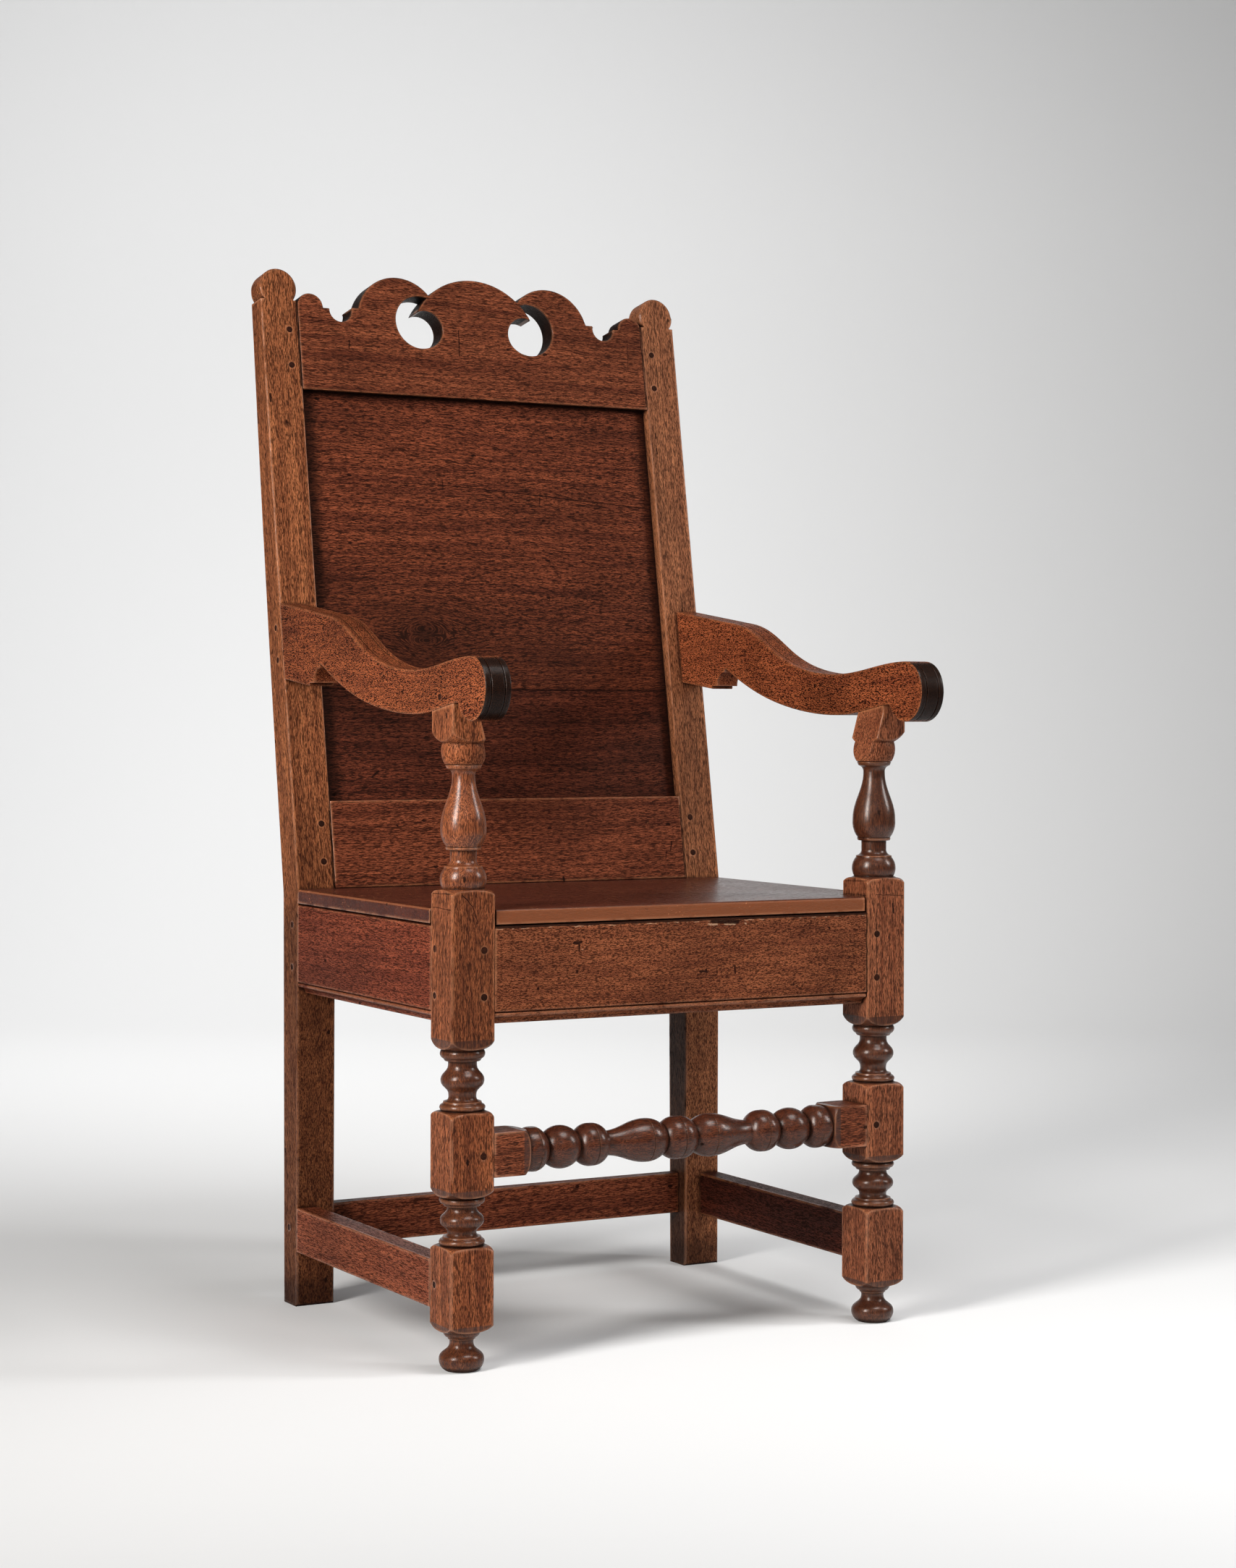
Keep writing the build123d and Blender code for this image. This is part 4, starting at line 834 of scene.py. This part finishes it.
# Painted shade on the left rear leg beneath the seat.
PAINTED_SHADE_BENEATH_SEAT = (UPWARDS, 0.47, 0.43, 0.45)
finishes = {
    # The crest's faces that don't look along the back, the walls of the piercings and scoops, are
    # near-black: darker end grain with painted shade of the recesses.
    "crest": walnut(
        "crest walnut", ALONG_X, (25, 8, 5), (94, 46, 30), (141, 77, 50), leaning=True,
        marks=crest_marks, off_face=(BACK_FACE, (9, 4, 3), 0.96, ANY_HEIGHT), arris=0.5,
    ),
    "lower back rail": walnut(
        "lower back rail walnut", ALONG_X, (25, 8, 5), (96, 47, 31), (143, 76, 50), leaning=True,
        marks=lower_rail_marks,
    ),
    "panel": walnut(
        "panel walnut", ALONG_X, (20, 6, 4), (86, 40, 27), (136, 70, 45), leaning=True,
        pores=0.9, figure=0.3, knot=True, marks=panel_marks, dullness=0.45, shade=panel_shade, arris=0.0,
    ),
    "lower panel": walnut(
        "lower panel walnut", ALONG_X, (18, 6, 4), (82, 37, 25), (128, 64, 43), leaning=True,
        pores=0.9, figure=0.5, marks=lower_panel_marks, dullness=0.45, shade=panel_shade, arris=0.0,
    ),
    "rear post left": walnut(
        "left rear post walnut", UPRIGHT, (32, 12, 7), (119, 66, 40), (166, 101, 63), leaning=True,
        marks=rear_post_marks, figure=0.3, arris=1.5,
        shade=[PAINTED_SHADE_BENEATH_SEAT, FOOT_SOIL],
    ),
    # Below the seat, the side faces of the right rear post are painted in shade.
    "rear post right": walnut(
        "right rear post walnut", UPRIGHT, (34, 14, 9), (122, 72, 47), (170, 108, 72), leaning=True,
        marks=rear_post_marks, figure=0.3, gloss=0.15, arris=1.5, shade=[FOOT_SOIL],
        off_face=((0, 1, 0), SOOT_AND_SHADE, 0.8, 0.43),
    ),
}
print("finishes of the back", sorted(finishes))

# %% [markdown]
# ## The seat, the rails and the legs
# Clothes have rubbed the seat to a low shine and left fine scratches on it. The turned runs were
# burnished on the lathe, so they are brighter than their square blocks, which were only planed, and
# darker with wax and painted shade, the most on the right post and below the seat on the left. The
# spans of the blocks are heights on a post and distances from the middle of the stretcher. A post's
# top span takes in the bead below the block, because the planed slope runs down over both.

# %% Finishes of the seat and legs
POST_LATHE = (
    UPWARDS,
    ((0.0455, 0.1215), (0.1773, 0.2523), (0.3237, 0.4688), (0.5920, 0.8000)),
)
STRETCHER_LATHE = (ACROSS, ((0.1860, 0.3000),))
front_rail_marks = [
    # The first line is a painted shadow under the overhanging edge of the seat.
    (ACROSS_PLANE, on_front(-219.0, 434.2), on_front(219.0, 434.2), 1.5),
    (ACROSS_PLANE, on_front(30.0, 432.0), on_front(60.0, 430.5), 2.2),
    (ACROSS_PLANE, on_front(-219.0, 338.0), on_front(-219.0, 436.0), 0.5),
    (ACROSS_PLANE, on_front(219.0, 338.0), on_front(219.0, 436.0), 0.7),
    (ACROSS_PLANE, on_front(-130.0, 415.0), on_front(-122.0, 416.5), 1.4),
    (ACROSS_PLANE, on_front(-124.5, 416.0), on_front(-124.5, 408.0), 0.9),
    (ACROSS_PLANE, on_front(56.9, 386.0), on_front(56.9, 378.0), 0.9),
    (ACROSS_PLANE, on_front(15.0, 382.0), on_front(23.0, 381.0), 1.0),
]
front_rail_chips = [
    (ACROSS_PLANE, on_front(-216.0, 432.0), on_front(216.0, 432.0), 0.35),
    (ACROSS_PLANE, on_front(20.0, 429.0), on_front(70.0, 428.4), 1.0),
    (ACROSS_PLANE, on_front(-129.0, 413.0), on_front(-120.0, 409.0), 0.8),
]
front_post_marks = [
    (ACROSS_PLANE, on_front(231.2, 312.0), on_front(231.8, 438.0), 0.35),
    (ACROSS_PLANE, on_front(-247.0, 322.0), on_front(-246.0, 372.0), 0.3),
    (ACROSS_PLANE, on_front(-253.4, 466.1), on_front(-242.4, 454.6), 0.5),
    (ACROSS_PLANE, on_front(-242.4, 454.6), on_front(-236.8, 438.2), 0.45),
    (ACROSS_PLANE, on_front(252.1, 442.7), on_front(253.0, 433.5), 1.1),
    (ACROSS_PLANE, on_front(230.8, 453.2), on_front(265.0, 451.4), 0.35),
    (ACROSS_PLANE, on_front(239.0, 470.5), on_front(240.1, 441.5), 0.4),
    (SIDE_PLANE, on_side(36.0, 334.0), on_side(35.0, 447.0), 0.3),
    (SIDE_PLANE, on_side(22.0, 160.0), on_side(23.0, 225.0), 0.25),
    (SIDE_PLANE, on_side(43.0, 466.1), on_side(4.5, 467.6), 0.35),
    (SIDE_PLANE, on_side(43.0, 452.7), on_side(4.4, 452.2), 0.35),
]
finishes.update({
    "rail": walnut(
        "seat rail walnut", ALONG_X, (28, 10, 6), (118, 63, 41), (156, 90, 58), short=2.2,
        figure=0.3, marks=front_rail_marks, pale_marks=front_rail_chips,
    ),
    # The left side stretcher is painted lighter and the right one much darker than the side rails:
    # painted light and painted shade on one walnut.
    "near stretcher": walnut(
        "near stretcher walnut", ALONG_Y, (28, 9, 6), (118, 58, 37), (156, 84, 55), figure=0.35,
    ),
    "side rail": walnut(
        "side rail walnut", ALONG_Y, (28, 9, 6), (101, 45, 29), (138, 68, 45), figure=0.35,
    ),
    # The right post's turned runs are darkened all the way up, the left post's only below the seat:
    # darker wax, deepened by painted shade where less light falls.
    "front post left": walnut(
        "left turned post walnut", UPRIGHT, (28, 9, 6), (120, 64, 39), (172, 100, 62),
        figure=0.45, arris=1.3, marks=front_post_marks, gloss=0.15,
        lathe=POST_LATHE, lathe_soil_and_shade=0.55, lathe_dark_below=0.44,
    ),
    "front post right": walnut(
        "right turned post walnut", UPRIGHT, (28, 9, 6), (120, 64, 41), (164, 98, 66),
        figure=0.45, arris=1.3, marks=front_post_marks, gloss=0.2,
        lathe=POST_LATHE, lathe_soil_and_shade=0.66,
    ),
    "stretcher": walnut(
        "turned stretcher walnut", ALONG_X, (23, 7, 5), (102, 51, 32), (149, 81, 53), figure=0.45,
        gloss=0.15, lathe=STRETCHER_LATHE, lathe_soil_and_shade=0.56,
    ),
    "back stretcher": walnut(
        "back stretcher walnut", ALONG_X, (23, 7, 5), (102, 50, 33), (142, 76, 50),
    ),
    "far stretcher": walnut(
        "far stretcher walnut", ALONG_Y, (14, 5, 4), (65, 29, 21), (92, 42, 29),
    ),
    "seat": walnut(
        "seat walnut", ALONG_X, (32, 12, 9), (72, 31, 22), (96, 46, 31), pores=0.75, figure=0.8,
        dullness=0.26, gloss=0.2, coat=0.16, off_face=((1, 0, 1), (158, 92, 56), 0.45, ANY_HEIGHT),
        pale_scratches=0.9,
    ),
    "peg": walnut(
        "peg walnut", ALONG_Y, (14, 7, 5), (38, 18, 12), (58, 29, 20), pores=0.4, arris=0.0,
    ),
})
print("finishes", sorted(finishes))

# %% [markdown]
# ## The arms
# The sides of the arms are the most orange wood on the chair, with short pores that run downhill.
# The rounded nose where the hands rest is nearly black and shines, so its tone is mixed in where
# the surface of the last few centimetres looks forwards.

# %% Arm finish
NOSE_LENGTH = 0.055
NOSE_FADE = 0.008
NOSE_TONE = (8, 4, 3)
NOSE_SHARE = 0.95
NOSE_COAT = 0.1


def darken_nose(material, nose_y):
    """Mix the sooty tone of the hand-worn nose into an arm's colour, ahead of nose_y."""
    t = Tree(material.node_tree)
    shader = material.node_tree.nodes["Principled BSDF"]
    coordinates = t.add("ShaderNodeTexCoord").outputs
    split = t.add("ShaderNodeSeparateXYZ")
    t.set(split.inputs[0], coordinates["Object"])
    looks = t.add("ShaderNodeSeparateXYZ")
    t.set(looks.inputs[0], coordinates["Normal"])
    ahead = t.band(split.outputs["Y"], nose_y, nose_y - NOSE_FADE)
    forwards = t.band(looks.outputs["Y"], -0.12, -0.45)
    nose = t.math("MULTIPLY", ahead, forwards)
    colour = shader.inputs["Base Color"].links[0].from_socket
    darkened = t.mix(t.math("MULTIPLY", nose, NOSE_SHARE), colour, tone(*NOSE_TONE))
    t.set(shader.inputs["Base Color"], darkened)
    coat = shader.inputs["Coat Weight"].links[0].from_socket
    waxed = t.math("MAXIMUM", coat, t.math("MULTIPLY", nose, NOSE_COAT))
    t.set(shader.inputs["Coat Weight"], waxed)


arm_nose_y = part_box("arm_left")[0][1] + NOSE_LENGTH
finishes["arm"] = walnut(
    "arm walnut", ALONG_Y, (20, 6, 4), (120, 60, 37), (166, 90, 54), figure=0.3, short=2.2,
    pores=1.0, dullness=0.4, arris=0.6,
)
darken_nose(finishes["arm"], arm_nose_y)
print("noses ahead of y =", round(arm_nose_y, 4))

# %% [markdown]
# ## Rounded arrises
# No arris of an old chair is sharp, and a rounded one catches the light. Boards and rear posts are
# copied here, because a solid's own mesh is never changed: the loose triangles of the copy are
# merged into whole faces, and its long outer arrises are beveled by one to two millimetres. A chain
# of edges counts as an arris when it reaches further than a peg is wide, so the bores stay crisp,
# and a board's shoulders stay crisp too, because they close tightly against the posts.

# %% Finding the arrises
SHARP_TURN = math.radians(35)
CHAIN_TURN = math.radians(50)


def runs_on(edge, follower, corner):
    """True if one edge goes on into the other at that corner without a sharp turn."""
    before = corner.co - edge.other_vert(corner).co
    after = follower.other_vert(corner).co - corner.co
    return before.length > 0 and after.length > 0 and before.angle(after) < CHAIN_TURN


def pick_arrises(piece, least_reach, wanted):
    """In edit mode, select the outward arrises that reach far enough and answer yes to wanted."""
    bpy.ops.mesh.select_mode(type="EDGE")
    bpy.ops.mesh.select_all(action="DESELECT")
    shape = bmesh.from_edit_mesh(piece.data)
    left = {
        edge for edge in shape.edges
        if len(edge.link_faces) == 2 and edge.calc_face_angle_signed(0) > SHARP_TURN
        and wanted((edge.verts[0].co + edge.verts[1].co) / 2)
    }
    picked = 0
    while left:
        chain = [left.pop()]
        for edge in chain:
            for corner in edge.verts:
                for follower in corner.link_edges:
                    if follower in left and runs_on(edge, follower, corner):
                        left.remove(follower)
                        chain.append(follower)
        places = [vertex.co for edge in chain for vertex in edge.verts]
        reach = max(max(p[i] for p in places) - min(p[i] for p in places) for i in range(3))
        if reach >= least_reach:
            for edge in chain:
                edge.select_set(True)
            picked += len(chain)
    bmesh.update_edit_mesh(piece.data)
    return picked


# %% Easing one board
def ease_board(name, width, least_reach, wanted=lambda middle: True, steps=2):
    """A copy of a solid with its long outer arrises rounded. The copy stands for the solid.
    One step gives a worn flat that mirrors the tall soft box along its whole length."""
    bpy.ops.object.select_all(action="DESELECT")
    board = bpy.data.objects.new(name + "_eased", nodes[name].data.copy())
    bpy.context.scene.collection.objects.link(board)
    board.select_set(True)
    bpy.context.view_layer.objects.active = board
    bpy.ops.mesh.customdata_custom_splitnormals_clear()
    bpy.ops.object.mode_set(mode="EDIT")
    bpy.ops.mesh.select_all(action="SELECT")
    bpy.ops.mesh.remove_doubles(threshold=0.00002)
    bpy.ops.mesh.dissolve_limited(angle_limit=math.radians(0.3))
    picked = pick_arrises(board, least_reach, wanted)
    bpy.ops.mesh.bevel(offset=width, segments=steps, profile=0.5, clamp_overlap=False)
    bpy.ops.object.mode_set(mode="OBJECT")
    bpy.ops.object.shade_smooth_by_angle(angle=math.radians(38))
    weighted = board.modifiers.new("flat faces stay flat", "WEIGHTED_NORMAL")
    weighted.keep_sharp = True
    bpy.ops.object.modifier_apply(modifier=weighted.name)
    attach(board, body)
    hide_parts(name)
    print(name, "eased", picked, "edges,", len(board.data.polygons), "faces")
    return board


# %% Ease the boards
WORN_WIDTH = 0.0012
WORN_POST_WIDTH = 0.0018
LONG_EDGE = 0.2
OUTLINE_EDGE = 0.012
TOUCHING = 0.0006
rail_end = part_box("rear_post_right")[0][0] - TOUCHING
arm_faces = [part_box("arm_right")[i][0] for i in (0, 1)]


def depth_behind_back(place):
    """How far a place lies behind the front faces of the rear posts, along their own depth."""
    lean = rake if place.z > BEND_HEIGHT else 0.0
    return (place.y - bend_y) * math.cos(lean) - (place.z - BEND_HEIGHT) * math.sin(lean)


def between_posts(middle):
    return abs(middle.x) < rail_end


def on_post_front(middle):
    return abs(depth_behind_back(middle)) < TOUCHING


def on_arm_outline(middle):
    beside = min(abs(abs(middle.x) - face) for face in arm_faces) < TOUCHING
    return beside and depth_behind_back(middle) < -2 * TOUCHING


eased = {}
for name in (
    "lower_back_rail", "front_seat_rail", "rear_seat_rail", "side_seat_rail_left",
    "side_seat_rail_right", "rear_stretcher",
):
    eased[name] = ease_board(name, WORN_WIDTH, LONG_EDGE)
eased["crest_rail"] = ease_board("crest_rail", WORN_WIDTH, OUTLINE_EDGE, between_posts)
for side in ("left", "right"):
    post = "rear_post_" + side
    eased[post] = ease_board(post, WORN_POST_WIDTH, 2 * OUTLINE_EDGE, on_post_front, steps=1)
    arm = "arm_" + side
    eased[arm] = ease_board(arm, WORN_WIDTH, OUTLINE_EDGE, on_arm_outline)
print("eased", len(eased), "boards")

# %% [markdown]
# ## Dressing the frame
# Every piece of the frame takes one finish, chosen by its name: all pegs share one, and the boards go
# by the start of their names. An eased copy takes the finish in the place of its solid. No mesh is
# moved, so the grain, the cracks, the soil and the painted shade fall where they were laid out.

# %% Dress the frame
FINISH_BY_START = (
    ("arm", "arm"), ("side_stretcher_right", "far stretcher"),
    ("side_stretcher_left", "near stretcher"), ("side_", "side rail"),
    ("rear_seat_rail", "back stretcher"), ("rear_stretcher", "back stretcher"),
    ("rear_post_left", "rear post left"), ("rear_post_right", "rear post right"),
    ("front_post_left", "front post left"), ("front_post_right", "front post right"),
    ("front_stretcher", "stretcher"), ("seat_board", "seat"), ("crest", "crest"),
    ("lower_back", "lower back rail"), ("back_panel_upper", "panel"),
    ("back_panel_lower", "lower panel"), ("front_seat_rail", "rail"),
)


def finish_for(node):
    """The finish of each piece, by its place and the way its grain runs."""
    if node.endswith("_pegs") or node == "seat_pins":
        return "peg"
    return next(finish for start, finish in FINISH_BY_START if node.startswith(start))


for name, node in nodes.items():
    shown = eased.get(name, node)
    shown.data.materials.clear()
    shown.data.materials.append(finishes[finish_for(name)])
print("dressed", len(nodes), "pieces in", len(finishes), "finishes")
